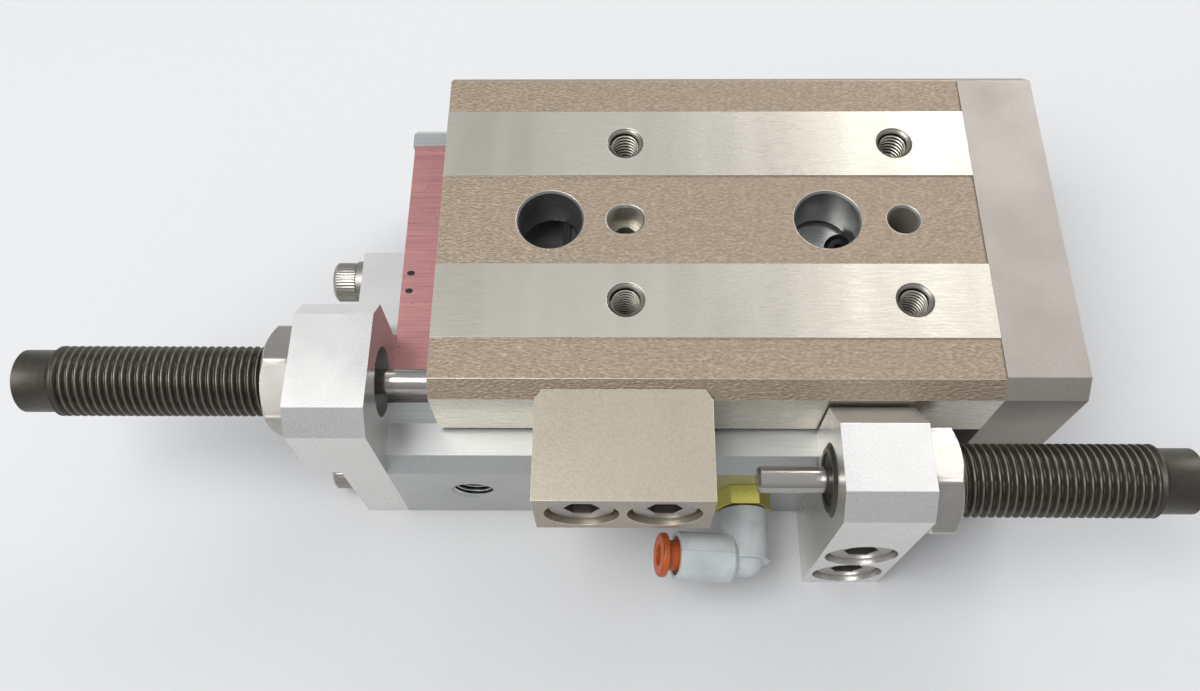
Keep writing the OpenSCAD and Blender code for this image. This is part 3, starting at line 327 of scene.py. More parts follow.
class Finish:
    """One material: a Principled shader with patterns on Object coordinates."""

    def __init__(self, name, metallic, roughness, coat=0.0):
        self.material = bpy.data.materials.new(name)
        self.material.use_nodes = True
        self.nodes = self.material.node_tree.nodes
        self.links = self.material.node_tree.links
        self.shader = self.nodes["Principled BSDF"]
        self.shader.inputs["Metallic"].default_value = metallic
        self.shader.inputs["Roughness"].default_value = roughness
        self.shader.inputs["Coat Weight"].default_value = coat
        self.place = self.node("TexCoord").outputs["Object"]

    def node(self, kind, **inputs):
        """A new shader node with some inputs set; From_Min stands for the one "From Min"."""
        added = self.nodes.new("ShaderNode" + kind)
        for name, value in inputs.items():
            added.inputs[name.replace("_", " ")].default_value = value
        return added

    def noise(self, stretch, detail=3.0, rough=0.55):
        """Noise with about stretch grains per millimetre, one number or one for each axis."""
        mapping = self.node("Mapping", Scale=np.broadcast_to(stretch, 3) / MM)
        pattern = self.node("TexNoise", Scale=1.0, Detail=detail, Roughness=rough)
        self.links.new(self.place, mapping.inputs["Vector"])
        self.links.new(mapping.outputs["Vector"], pattern.inputs["Vector"])
        return pattern.outputs["Fac"]

    def spread(self, value, low, high, out_low=0.0, out_high=1.0):
        """value from low to high becomes out_low to out_high, held beyond them."""
        node = self.node("MapRange", From_Min=low, From_Max=high, To_Min=out_low, To_Max=out_high)
        self.links.new(value, node.inputs["Value"])
        return node.outputs["Result"]

    def along(self, axis):
        """The place along the axis X, Y or Z, in metres."""
        node = self.node("SeparateXYZ")
        self.links.new(self.place, node.inputs["Vector"])
        return node.outputs[axis]

    def product(self, first, second):
        """One value times another."""
        node = self.node("Math")
        node.operation = "MULTIPLY"
        self.links.new(first, node.inputs[0])
        self.links.new(second, node.inputs[1])
        return node.outputs["Value"]

    def attribute(self, name):
        """The piece's own attribute of that name."""
        node = self.node("Attribute")
        node.attribute_name = name
        return node.outputs["Fac"]

    def mix(self, value, first, second):
        """Colour first where value is 0 and second where it is 1."""
        node = self.node("Mix")
        node.data_type = "RGBA"
        share, colours_in, mixed = node.inputs[0], node.inputs[6:8], node.outputs[2]
        for socket, colour in zip(colours_in, (first, second)):
            if hasattr(colour, "is_linked"):
                self.links.new(colour, socket)
            else:
                socket.default_value = linear(colour)
        self.links.new(value, share)
        return mixed

    def tones(self, value, low, high, colour, dark, light):
        """The colour times dark where value is low, and times light where it is high."""
        return self.mix(self.spread(value, low, high), shade(colour, dark), shade(colour, light))

    def cover(self, tone, value, low, high, share, colour):
        """tone, with up to share of a colour over it where value is high."""
        return self.mix(self.spread(value, low, high, 0.0, share), tone, colour)

    def colour(self, output):
        """Drives the base colour."""
        self.links.new(output, self.shader.inputs["Base Color"])

    def roughness(self, value, low, high, at_low, at_high):
        """Drives the roughness: at_low where value is low and at_high where it is high."""
        output = self.spread(value, low, high, at_low, at_high)
        self.links.new(output, self.shader.inputs["Roughness"])

    def bump(self, *layers):
        """Relief from (pattern, height in millimetres) layers, one on another."""
        normal = None
        for pattern, height in layers:
            node = self.node("Bump", Distance=height * MM)
            self.links.new(pattern, node.inputs["Height"])
            if normal is not None:
                self.links.new(normal, node.inputs["Normal"])
            normal = node.outputs["Normal"]
        self.links.new(normal, self.shader.inputs["Normal"])


def pebbled_steel(name, colour):
    """Embossed grain drawn out along the stroke, with painted shade in its hollows and painted
    highlight on its tops.
    """
    finish = Finish(name, 0.55, 0.5)
    grain = finish.noise((1.1, 2.7, 2.7), 3.0)
    patch = finish.noise((0.03, 0.05, 0.05), 2.0)
    # painted shade: darker where the grain is low
    tone = finish.tones(grain, 0.38, 0.56, colour, 0.91, 1.02)
    # painted highlight: bright specks where the grain is high
    tone = finish.cover(tone, grain, 0.57, 0.68, 1.0, shade(colour, 1.13))
    finish.colour(finish.cover(tone, patch, 0.35, 0.75, 0.25, shade(colour, 0.94)))
    finish.roughness(grain, 0.3, 0.7, 0.6, 0.38)
    finish.bump((grain, 0.35))
    return finish.material


def brushed_metal(name, colour, stretch, roughness=0.34, depth=0.012, contrast=0.06):
    """Fine parallel lines along the axis with the small stretch, with soft bands."""
    finish = Finish(name, 0.92, roughness)
    line = finish.noise(stretch, 3.0, 0.6)
    band = finish.noise([value * 0.12 for value in stretch], 2.0)
    tone = finish.tones(line, 0.3, 0.7, colour, 1.0 - contrast, 1.0 + contrast)
    finish.colour(finish.cover(tone, band, 0.3, 0.8, 0.5, shade(colour, 0.95)))
    finish.roughness(line, 0.3, 0.7, roughness - 0.06, roughness + 0.08)
    finish.bump((line, depth))
    return finish.material


def ground_metal(name, colour):
    """Ground flat: short strokes along the length and soft bands across them."""
    finish = Finish(name, 0.92, 0.3)
    line = finish.noise((0.22, 2.4, 2.4), 4.0, 0.65)
    band = finish.noise((0.07, 0.012, 0.012), 2.0)
    tone = finish.tones(line, 0.35, 0.65, colour, 0.94, 1.05)
    finish.colour(finish.cover(tone, band, 0.4, 0.65, 0.7, shade(colour, 0.9)))
    finish.roughness(line, 0.35, 0.65, 0.34, 0.24)
    finish.bump((line, 0.004))
    return finish.material


def satin_metal(name, colour, roughness=0.38, grain=3.0, depth=0.006, metallic=0.85):
    """Even fine grain, as on anodised or plated parts, with faint clouding."""
    finish = Finish(name, metallic, roughness)
    fine = finish.noise(grain, 2.0)
    cloud = finish.noise(0.08, 3.0)
    tone = finish.tones(fine, 0.3, 0.7, colour, 0.96, 1.03)
    finish.colour(finish.cover(tone, cloud, 0.4, 0.7, 0.4, shade(colour, 0.95)))
    finish.roughness(cloud, 0.3, 0.7, roughness - 0.04, roughness + 0.06)
    finish.bump((fine, depth))
    return finish.material


def worn_edge(name, colour, bare=1.12, spots=0.5):
    """A broken edge: rubbed bright along most of its length, with small dark nicks.

    bare is how bright the rubbed metal is, and spots how dark the nicks are.
    """
    finish = Finish(name, 0.9, 0.32)
    rub = finish.noise(0.35, 3.0)
    nick = finish.noise(2.2, 2.0, 0.7)
    tone = finish.tones(rub, 0.35, 0.6, colour, 0.97, bare)
    finish.colour(finish.cover(tone, nick, 0.62, 0.7, spots, shade(colour, 0.3)))
    finish.roughness(rub, 0.35, 0.6, 0.42, 0.26)
    finish.bump((nick, 0.02))
    return finish.material


def recess_lines_and_painted_reflection(name, colour, plain, fade):
    """Cutter lines across the stroke, a few scratches and small stains, on colour, which is a
    painted pink reflection.

    The painted reflection turns to the plain colour between the two places along X that
    fade gives, in metres.
    """
    finish = Finish(name, 0.8, 0.35)
    line = finish.noise((0.06, 3.0, 3.0), 3.0, 0.6)
    scratch = finish.noise((2.5, 0.2, 2.5), 2.0)
    stain = finish.noise(0.35, 2.0)
    # the pink colour is a painted reflection, with real cutter lines, scratches and stains on it
    tone = finish.tones(line, 0.3, 0.7, colour, 0.92, 1.06)
    tone = finish.cover(tone, scratch, 0.68, 0.74, 0.6, shade(colour, 1.15))
    tone = finish.cover(tone, stain, 0.7, 0.76, 0.7, shade(colour, 0.7))
    bare = finish.tones(line, 0.3, 0.7, plain, 0.92, 1.06)
    # the painted reflection fades to the plain colour along X
    finish.colour(finish.mix(finish.spread(finish.along("X"), *fade), tone, bare))
    finish.roughness(line, 0.3, 0.7, 0.28, 0.45)
    finish.bump((line, 0.01), (scratch, 0.01))
    return finish.material


def rubbed_metal(name, colour):
    """Plated steel, rubbed bright and smooth where the piece's crest attribute is high."""
    finish = Finish(name, 0.9, 0.32)
    fine = finish.noise(2.5, 2.0)
    cloud = finish.noise(0.12, 3.0)
    worn = finish.spread(finish.attribute("crest"), 0.2, 0.9)
    tone = finish.tones(cloud, 0.35, 0.7, colour, 1.0, 0.88)
    finish.colour(finish.mix(worn, tone, shade(colour, 1.2)))
    finish.roughness(cloud, 0.3, 0.7, 0.28, 0.4)
    finish.bump((fine, 0.005))
    return finish.material


def thread_with_painted_light(name, colour):
    """Tapped metal: painted highlight on the crests, painted shade in the roots, and marks along
    the cut.
    """
    finish = Finish(name, 0.9, 0.3)
    mark = finish.noise(3.0, 3.0)
    # near black in the roots and bright on the crests: painted shade and painted highlight
    finish.colour(finish.tones(finish.attribute("crest"), 0.5, 0.85, colour, 0.08, 1.1))
    finish.roughness(mark, 0.3, 0.7, 0.24, 0.42)
    finish.bump((mark, 0.006))
    return finish.material


def coating_with_crest_wear_and_painted_highlight(name, colour, bare):
    """Dark coating, lighter where the piece's crest attribute is high: worn to bare metal there,
    and a painted highlight.
    """
    finish = Finish(name, 0.8, 0.42)
    wear = finish.noise(1.2, 3.0)
    tone = finish.tones(wear, 0.3, 0.7, colour, 0.94, 1.05)
    # lighter on the crests: worn coating and painted highlight
    finish.colour(finish.cover(tone, finish.attribute("crest"), 0.75, 1.0, 0.5, bare))
    finish.roughness(wear, 0.3, 0.7, 0.38, 0.5)
    finish.bump((wear, 0.01))
    return finish.material


def moulded_plastic(name, colour, roughness=0.4, coat=0.0, depth=0.004, seam_mm=None):
    """Moulded plastic with a faint texture and slightly uneven tone.

    seam_mm is the place along Y of the mould's parting line, a fine raised and darker line.
    """
    finish = Finish(name, 0.0, roughness, coat=coat)
    fine = finish.noise(4.0, 2.0)
    cloud = finish.noise(0.25, 2.0)
    tone = finish.tones(cloud, 0.3, 0.7, colour, 0.94, 1.03)
    layers = [(fine, depth)]
    if seam_mm is not None:
        half, raised = 0.09, 0.03
        place = finish.along("Y")
        rise = finish.spread(place, (seam_mm - half) * MM, seam_mm * MM)
        line = finish.spread(place, seam_mm * MM, (seam_mm + half) * MM, 1.0, 0.0)
        line = finish.product(rise, line)
        tone = finish.mix(line, tone, shade(colour, 0.82))
        layers.append((line, raised))
    finish.colour(tone)
    finish.roughness(fine, 0.3, 0.7, roughness - 0.05, roughness + 0.08)
    finish.bump(*layers)
    return finish.material


def milled_metal(name, colour, roughness):
    """Long fine cutter lines along the stroke."""
    return brushed_metal(name, colour, (0.05, 5.0, 5.0), roughness)


def polished_rod(name, colour):
    """Chromed and polished, with barely seen lines round the rod."""
    return brushed_metal(name, colour, (6.0, 0.4, 0.4), 0.14, 0.0006, 0.01)


def rubber(name, colour):
    """Matte black rubber with a dusty tone."""
    return moulded_plastic(name, colour, roughness=0.7, depth=0.01)


# ------------------------------------------------------------------ properties


def colour_property(name, description, default):
    """A display colour that the user may change."""
    return FloatVectorProperty(
        name=name, description=description, subtype="COLOR_GAMMA", size=3, min=0.0,
        max=1.0, default=default,
    )


def length_property(name, description, default_mm):
    """A length that the user may change."""
    return FloatProperty(
        name=name, description=description, default=default_mm * MM, unit="LENGTH",
        subtype="DISTANCE", precision=5,
    )


class SlideTableSizes(bpy.types.PropertyGroup):
    """Sizes of the details that the solids leave out."""

    absorber_pitch: length_property("Absorber pitch", "Pitch of the absorber thread", 1.5)
    absorber_depth: length_property("Absorber depth", "Depth of the absorber thread", 0.8)
    work_pitch: length_property("Work hole pitch", "Pitch of the tapped work holes", 1.0)
    work_depth: length_property("Work hole depth", "Depth of their thread", 0.5)
    port_pitch: length_property("Port pitch", "Pitch of the tapped air port", 0.9)
    port_depth: length_property("Port depth", "Depth of its thread", 0.45)
    knurl_depth: length_property("Knurl depth", "Depth of the knurl on screw heads", 0.12)
    knurls: IntProperty(
        name="Knurls", description="Grooves round a screw head", default=40, min=12, max=80
    )
    edge: length_property("Edge break", "Broken edge of the machined parts", 0.2)


class SlideTableColours(bpy.types.PropertyGroup):
    """Display colours of the finishes."""

    texture: colour_property("Texture", "Textured face of the table", (0.605, 0.54, 0.47))
    strip: colour_property("Ground strip", "Ground strips of the table", (0.83, 0.805, 0.75))
    body: colour_property("Body", "Clear anodised body", (0.74, 0.745, 0.735))
    # a painted pink reflection on the machined top, not the metal's own colour
    recess_with_painted_reflection: colour_property("Recess", "Machined top of the body", (0.77, 0.55, 0.54))
    holder: colour_property("Holders", "Absorber holders", (0.89, 0.88, 0.865))
    end_plate: colour_property("End plate", "Matte anodised end plate", (0.635, 0.61, 0.58))
    stopper: colour_property("Stopper", "Plated stopper block", (0.685, 0.65, 0.585))
    absorber: colour_property("Absorbers", "Coated absorber bodies", (0.3, 0.285, 0.255))
    nickel: colour_property("Nickel", "Nuts and bright screws", (0.74, 0.72, 0.69))
    chrome: colour_property("Chrome", "Rods", (0.68, 0.665, 0.64))
    black: colour_property("Black oxide", "Dark screws", (0.16, 0.16, 0.17))
    brass: colour_property("Brass", "Stud and bushings", (0.84, 0.8, 0.42))
    elbow: colour_property("Elbow", "Pale plastic elbow", (0.73, 0.75, 0.75))
    button: colour_property("Button", "Orange release button", (0.72, 0.33, 0.11))
    rubber: colour_property("Rubber", "Seals and scrapers", (0.09, 0.09, 0.09))
    floor: colour_property("Floor", "Studio floor", (0.8, 0.8, 0.8))


def settings(context):
    """The size settings by name, lengths as plain millimetres, and the colour settings."""
    sizes = context.scene.slide_table_sizes
    lengths = [name for name in SlideTableSizes.__annotations__ if name != "knurls"]
    size = {name: getattr(sizes, name) / MM for name in lengths} | {"knurls": sizes.knurls}
    return size, context.scene.slide_table_colours


def smooth(nodes, material):
    """Copies with smooth round faces stand for the CAD nodes and take the material."""
    for node in nodes:
        paint(dress_copy(node, 0.0), [material])


def keep(nodes, material):
    """The CAD nodes stay as they are and take the material."""
    for node in nodes:
        paint(NODES[node], [material])


# ------------------------------------------------------------------ operators


def widen_holes(places, holes, core, root, bottom, top):
    """Moves the wall points of upright holes from the core radius out to the root radius.

    The wall runs from the height bottom to top, where a countersink starts. The ring there
    rises by as much as it moves out, so the countersink keeps its slope.
    """
    near, level = 0.08, 0.1
    out = places.copy()
    for x, y in holes:
        dx, dy = places[:, 0] - x, places[:, 1] - y
        radius = np.hypot(dx, dy)
        wall = (np.abs(radius - core) < near) & (places[:, 2] > bottom - level)
        wall &= places[:, 2] < top + level
        out[wall, 0] = x + dx[wall] / radius[wall] * root
        out[wall, 1] = y + dy[wall] / radius[wall] * root
        foot = wall & (places[:, 2] > top - level)
        out[foot, 2] = places[foot, 2] + root - core
    return out


def tapped_wall(place, toward, core, depth, length, pitch, rim=None, columns=48):
    """A tapped hole's wall as a closed sleeve, and the painted light at each point.

    The inner radius is the core radius plus the thread depth where the thread wave is in
    its root. It is never less than a 45 degree cone that ends at the root radius at the
    start and at rim at the far end, where the wave leaves a low ridge. The outer surface
    lies a thin wall outside all that. The painted light counts 1 on a crest, a painted
    highlight, 0 in a root, painted shade, and a mid painted shade on the far cone.
    """
    # the far cone gets a mid painted shade, and its low ridge a little painted light
    ridge, wall, cone_painted_shade, ridge_painted_light = 0.1, 0.04, 0.59, 0.06
    angles = round_angles(columns)
    root = core + depth
    rim = root if rim is None else rim
    axial = np.linspace(0.0, length, int(length / pitch * ROWS_PER_TURN))[:, None]
    wave = thread_wave(axial, angles, pitch, 0.16)
    mouth = rim - (length - axial) - ridge * wave
    thread = core + depth * (1.0 - wave)
    inner = np.maximum(thread, np.maximum(root - axial, mouth))
    foot = length - (rim - root)
    outer = np.array([[length, rim + wall], [foot, root + wall], [0.0, root + wall]])
    axials = np.vstack([axial, outer[:, :1]])
    radii = np.vstack([inner, outer[:, 1:] * np.ones_like(angles)])
    points = turned(axials, radii, angles, place, toward)
    # painted light: 1 on the crests as painted highlight, 0 in the roots as painted shade
    bright = np.where(mouth > thread, cone_painted_shade + ridge_painted_light * wave, wave)
    return *skin(points, loop_rows=True), np.concatenate([bright.ravel(), np.zeros(3 * columns)])


class SLIDETABLE_OT_table(bpy.types.Operator):
    """The table: textured face, ground strips and sides, and four tapped work holes."""

    bl_idname = "slide_table.table"
    bl_label = "Table"

    def execute(self, context):
        size, colour = settings(context)
        low, high = box_mm("table")
        work = frame_mount("table_holes")
        middle = np.array(work["pos_m"]) / MM
        dims = work["dims"]
        holes = [
            (middle[0] + sx * dims["spacing_x_mm"] / 2, middle[1] + sy * dims["spacing_y_mm"] / 2)
            for sx in (-1, 1)
            for sy in (-1, 1)
        ]
        plate, legs_inside = 10.9, 30  # the plate's thickness, and |y| where its legs begin
        sink, lip, room = 1.25, 0.15, 0.02  # countersinks, threads' ends under the top, play
        pin_reach, pin_sink = 4, 0.6  # round the middle line's holes, and under their mouths
        near = 0.1  # how far a face's middle may lie from the plane it counts with
        underside = high[2] - plate
        core, depth = dims["hole_r_mm"], size["work_depth"]
        piece = dress_copy(
            "table",
            size["edge"] * 0.6,
            reshape=lambda places: widen_holes(
                places, holes, core, core + depth + room, underside, high[2] - sink
            ),
        )
        (x, y, z), (_, facing_y, facing_z) = faces_of(piece)
        ground_top = (facing_z > SQUARE) & (z > high[2] - near / 2)
        ground_side = (np.abs(facing_y) > SQUARE) & (np.abs(y) > high[1] - near)
        ends = (x < low[0] + near) | (x > high[0] - near)
        inside = (z < underside + near) & (facing_z < 0.5)
        walls_painted_shade = (np.abs(facing_z) < SQUARE) & (z > underside)
        walls_painted_shade &= (np.abs(y) < legs_inside) & ~ends
        pick = np.zeros(len(z))
        pick[ground_top | ground_side] = 1
        # hole walls and the plate's underside take a darker copy of the body colour: painted shade
        pick[walls_painted_shade | (inside & ~ground_side)] = 2
        # the pin holes' walls take a lighter copy of the strip colour than the other walls: painted
        # light
        for hole_x, _ in holes:
            pin = np.hypot(x - hole_x, y - middle[1]) < pin_reach
            pick[pin & (z < high[2] - pin_sink)] = 3
        paint(
            piece,
            [
                pebbled_steel("table texture", colour.texture),
                ground_metal("table ground", colour.strip),
                satin_metal("table bores", shade(colour.body, 0.7), 0.28, 2.0, metallic=0.75),
                satin_metal("table pin holes", shade(colour.strip, 0.9), 0.3, 2.0, metallic=0.7),
            ],
            pick,
            worn_edge("table edge", colour.strip, 1.05),
        )
        length, rim = high[2] - lip - underside, core + sink - lip - room
        threads = [
            tapped_wall((*hole, underside), "+Z", core, depth, length, size["work_pitch"], rim)
            for hole in holes
        ]
        wall = add_piece("table_work_threads", threads, "table", sharp=50.0)
        paint(wall, [thread_with_painted_light("work thread", colour.strip)])
        return {"FINISHED"}


class SLIDETABLE_OT_end_plate(bpy.types.Operator):
    """The end plate that ties the rods to the table."""

    bl_idname = "slide_table.end_plate"
    bl_label = "End plate"

    def execute(self, context):
        size, colour = settings(context)
        piece = dress_copy("end_plate", size["edge"] * 1.5)
        finish = satin_metal("end plate anodised", colour.end_plate, 0.55, 2.5, 0.008)
        paint(piece, [finish], edge=worn_edge("end plate edge", shade(colour.end_plate, 1.1)))
        return {"FINISHED"}


def painted_shade_dot(place, half_length, half_width, height):
    """A closed low dome on an oval foot, as vertices and faces.

    A ring at the share t of the foot's radius lies at the height times one less t squared,
    and a last ring and the closing point lie half the height under the foot.
    """
    angles = round_angles(32)
    oval = 1.0 / np.hypot(np.cos(angles) / half_width, np.sin(angles) / half_length)
    share = np.array([0.3, 0.55, 0.75, 0.9, 1.0, 1.0])[:, None]
    rise = height * (1.0 - share**2)
    rise[-1] = -height / 2
    points = turned(rise, share * oval, angles, place, "+Z")
    up = height * direction("+Z")
    return skin(points, start=place + up, end=place - up / 2)


class SLIDETABLE_OT_cylinder_body(bpy.types.Operator):
    """The cylinder body with its machined top and the tapped open port."""

    bl_idname = "slide_table.cylinder_body"
    bl_label = "Cylinder body"

    def execute(self, context):
        size, colour = settings(context)
        port = frame_mount("air_port")
        core, depth = port["dims"]["r_mm"], size["port_depth"]
        port_x, _, bore_height = np.array(port["pos_m"]) / MM
        low, high = box_mm("cylinder_body")
        recess_height = box_mm("guide_block")[0][2]
        bore_reach = (box_mm("near_piston")[1] - centre_mm("near_piston"))[2] + 1.05
        ledge_low, rails_outside = 28.0, 32.85  # under the ledges, and |y| past the rails
        near = 0.2  # how far a face's middle may lie from the plane it counts with
        # the painted pink reflection on the machined top fades out over this length in mm from the
        # table's rear end
        table_rear, reflection_fade_length = box_mm("table")[0][0], 10
        fade = (table_rear * MM, (table_rear + reflection_fade_length) * MM)
        piece = dress_copy("cylinder_body", size["edge"])
        (_, y, z), (facing_x, _, facing_z) = faces_of(piece)
        up = facing_z > SQUARE
        recess_with_painted_reflection = up & (np.abs(z - recess_height) < near)
        rails = up & (z > high[2] - near)
        ledges = (facing_z > 0.6) & (z > ledge_low) & (np.abs(y) > rails_outside)
        bores = (np.abs(z - bore_height) < bore_reach) & (np.abs(facing_x) < 0.5)
        bores &= (y > low[1] + 0.3) & (y < high[1] - 0.5)
        pick = np.zeros(len(z))
        pick[recess_with_painted_reflection] = 1
        pick[rails] = 3
        # the ledges take a lighter copy of the body colour: painted light on these upward faces
        pick[ledges] = 4
        # the bore walls take a darker copy of the body colour: painted shade
        pick[bores] = 2
        paint(
            piece,
            [
                satin_metal("body anodised", colour.body, 0.4, 2.5),
                recess_lines_and_painted_reflection("body recess", colour.recess_with_painted_reflection, shade(colour.body, 0.9), fade),
                satin_metal("body bores", shade(colour.body, 0.7), 0.3, 2.0),
                milled_metal("body rails", colour.body, 0.32),
                milled_metal("body ledges", shade(colour.body, 1.08), 0.48),
            ],
            pick,
            worn_edge("body edge", shade(colour.body, 1.05)),
        )
        # two dark low domes on the machined top: painted shade of two small hollows
        dots = [
            painted_shade_dot(
                np.array([low[0] + inset, dot_y, recess_height]),
                half_length=0.85, half_width=0.6, height=0.03,
            )
            for inset, dot_y in ((1.8, -2.1), (1.75, -6.4))
        ]
        paint(add_piece("recess_ink_dots", dots, "cylinder_body"),
              [moulded_plastic("marker ink", shade(colour.rubber, 0.6), 0.45)])
        sunk = 0.5  # how far inside the port's mouth its thread starts
        sleeve = tapped_wall(
            (port_x, low[1] + sunk, bore_height), "+Y", core - depth, depth,
            port["dims"]["length_mm"] - sunk, size["port_pitch"], columns=64,
        )
        wall = add_piece("port_thread", [sleeve], "cylinder_body", sharp=50.0)
        paint(wall, [thread_with_painted_light("port thread", colour.body)])
        return {"FINISHED"}


class SLIDETABLE_OT_holders(bpy.types.Operator):
    """The two absorber holders."""

    bl_idname = "slide_table.holders"
    bl_label = "Absorber holders"

    def execute(self, context):
        size, colour = settings(context)
        finish = satin_metal("holder plate", colour.holder, 0.3, 2.5, 0.005, 0.9)
        edge = worn_edge("holder edge", colour.holder, 1.05, 0.7)
        for node in ("front_holder", "rear_holder"):
            paint(dress_copy(node, size["edge"]), [finish], edge=edge)
        return {"FINISHED"}


class SLIDETABLE_OT_stopper(bpy.types.Operator):
    """The stopper block on the table's side."""

    bl_idname = "slide_table.stopper"
    bl_label = "Stopper block"

    def execute(self, context):
        size, colour = settings(context)
        piece = dress_copy("stopper_block", size["edge"])
        finish = satin_metal("stopper plate", colour.stopper, 0.42, 1.8, 0.03)
        # the broken edges take a much lighter copy of the stopper colour: painted highlight
        paint(piece, [finish], edge=worn_edge("stopper edge", shade(colour.stopper, 1.35)))
        return {"FINISHED"}


def absorber_skin(end, toward, axis_place, size):
    """An absorber body as one closed turned surface.

    The profile runs from the bore's floor along the bore to the open end, over the rim,
    along the thread and the plain neck to the closed end. On the thread the radius is the
    crest radius less the depth where the thread wave is low, and the wave fades out at
    both ends. Returns vertices, faces and the wave's value at each vertex.
    """
    low, high = box_mm("front_absorber_body")
    length, crest = high[0] - low[0], (high[1] - low[1]) / 2
    neck_length, neck, bore, floor = 7.0, 6.1, 5.0, 6.0
    lead, corner, inset = 0.7, 0.15, 0.02  # thread's plain ends, broken corners, play
    pitch, depth = size["absorber_pitch"], size["absorber_depth"]
    angles = round_angles(64)
    shoulder = length - neck_length
    thread_end = shoulder - lead
    rows = int((thread_end - lead) / pitch * ROWS_PER_TURN)
    along = np.linspace(lead, thread_end, rows)[:, None]
    fade = np.clip(np.minimum(along - lead, thread_end - along) / pitch, 0.0, 1.0)
    wave = thread_wave(along, angles, pitch, 0.14)
    radius = crest - depth * (1.0 - wave) * fade - inset
    # rows of axial place and radius before and after the thread
    inner = np.array([[length - floor, bore], [corner, bore], [0.0, bore + corner],
                      [0.0, crest - lead - corner], [corner, crest - lead]])
    outer = np.array([[shoulder, neck + 0.1], [shoulder + corner, neck], [length - 0.5, neck],
                      [length - 0.1, neck - 0.4], [length, neck - 0.6]])
    ones = np.ones_like(angles)
    axial = np.vstack([inner[:, :1], along, outer[:, :1]])
    radii = np.vstack([inner[:, 1:] * ones, radius, outer[:, 1:] * ones])
    plain = np.zeros((len(inner), angles.size))
    worn = np.vstack([plain, wave * fade, plain])
    place = np.array([end, axis_place[1], axis_place[2]])
    points = turned(axial, radii, angles, place, toward)
    unit = direction(toward)
    vertices, faces = skin(points, start=place + (length - floor) * unit, end=place + length * unit)
    return vertices, faces, np.concatenate([worn.ravel(), [0.0, 0.0]])


def nut_skin(node, flats, bore, turn_deg):
    """A lock nut with both faces chamfered, and how worn each of its points is.

    The outer radius is the smaller of the hexagon's radius and a cone that starts a bit
    inside the flats and opens by slope times the distance from either face. Wear is 1 on
    the corners and where the cone meets the hexagon, and 0 past wear_mm from there.
    """
    face, slope, wear_mm, chamfer, ends = 0.985, 1.7, 0.3, 0.5, 1.0
    low, high = box_mm(node)
    height = high[0] - low[0]
    angles = round_angles(120)
    step = np.concatenate([np.linspace(0.0, ends, 9), np.linspace(height - ends, height, 9)])
    cone = flats / 2 * face + slope * np.minimum(step, height - step)[:, None]
    hexagon = hexagon_radius(flats, angles)
    corner = flats / math.sqrt(3.0)
    worn = np.minimum(np.abs(hexagon - cone), corner - hexagon) / wear_mm
    inner = np.array([[height, bore + chamfer], [height - chamfer, bore], [chamfer, bore],
                      [0.0, bore + chamfer]])
    axial = np.vstack([step[:, None], inner[:, :1]])
    radii = np.vstack([np.minimum(hexagon, cone), inner[:, 1:] * np.ones_like(angles)])
    worn = np.vstack([np.clip(1.0 - worn, 0.0, 1.0), np.zeros((len(inner), angles.size))])
    place = (low[0], *centre_mm(node)[1:])
    points = turned(axial, radii, angles + math.radians(turn_deg), place, "+X")
    return *skin(points, loop_rows=True), worn.ravel()


class SLIDETABLE_OT_absorbers(bpy.types.Operator):
    """The shock absorbers: threaded bodies, end rings, rods, springs and lock nuts."""

    bl_idname = "slide_table.absorbers"
    bl_label = "Shock absorbers"

    def execute(self, context):
        size, colour = settings(context)
        # the lighter crest colour stands for worn coating and painted highlight
        coating = coating_with_crest_wear_and_painted_highlight("absorber coating", colour.absorber, shade(colour.absorber, 1.9))
        nickel = rubbed_metal("lock nut nickel", colour.nickel)
        flats, bore = 19.0, 6.92
        for side, toward, turn_deg in (("front", "+X", 19.0), ("rear", "-X", 1.0)):
            node = side + "_absorber_body"
            low, high = box_mm(node)
            end = low[0] if toward == "+X" else high[0]
            skins = [absorber_skin(end, toward, centre_mm(node), size)]
            body = add_piece(node + "_threaded", skins, node, 40.0)
            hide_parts(node)
            paint(body, [coating])
            node = side + "_lock_nut"
            skins = [nut_skin(node, flats, bore, turn_deg)]
            nut = add_piece(node + "_chamfered", skins, node, 28.0)
            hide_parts(node)
            paint(nut, [nickel])
        smooth(("front_absorber_gland", "rear_absorber_gland"),
               satin_metal("end ring", shade(colour.absorber, 0.6), 0.4, 2.0))
        smooth(("front_plunger", "rear_plunger"), polished_rod("plunger chrome", colour.chrome))
        steel = satin_metal("spring steel", shade(colour.nickel, 0.6), 0.35, 2.0)
        for node, joint, fixed in (("front_return_spring", "front_rod_slide", 1),
                                   ("rear_return_spring", "rear_rod_slide", 0)):
            spring = dress_copy(node, 0.0)
            paint(spring, [steel])
            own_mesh(spring)
        return {"FINISHED"}


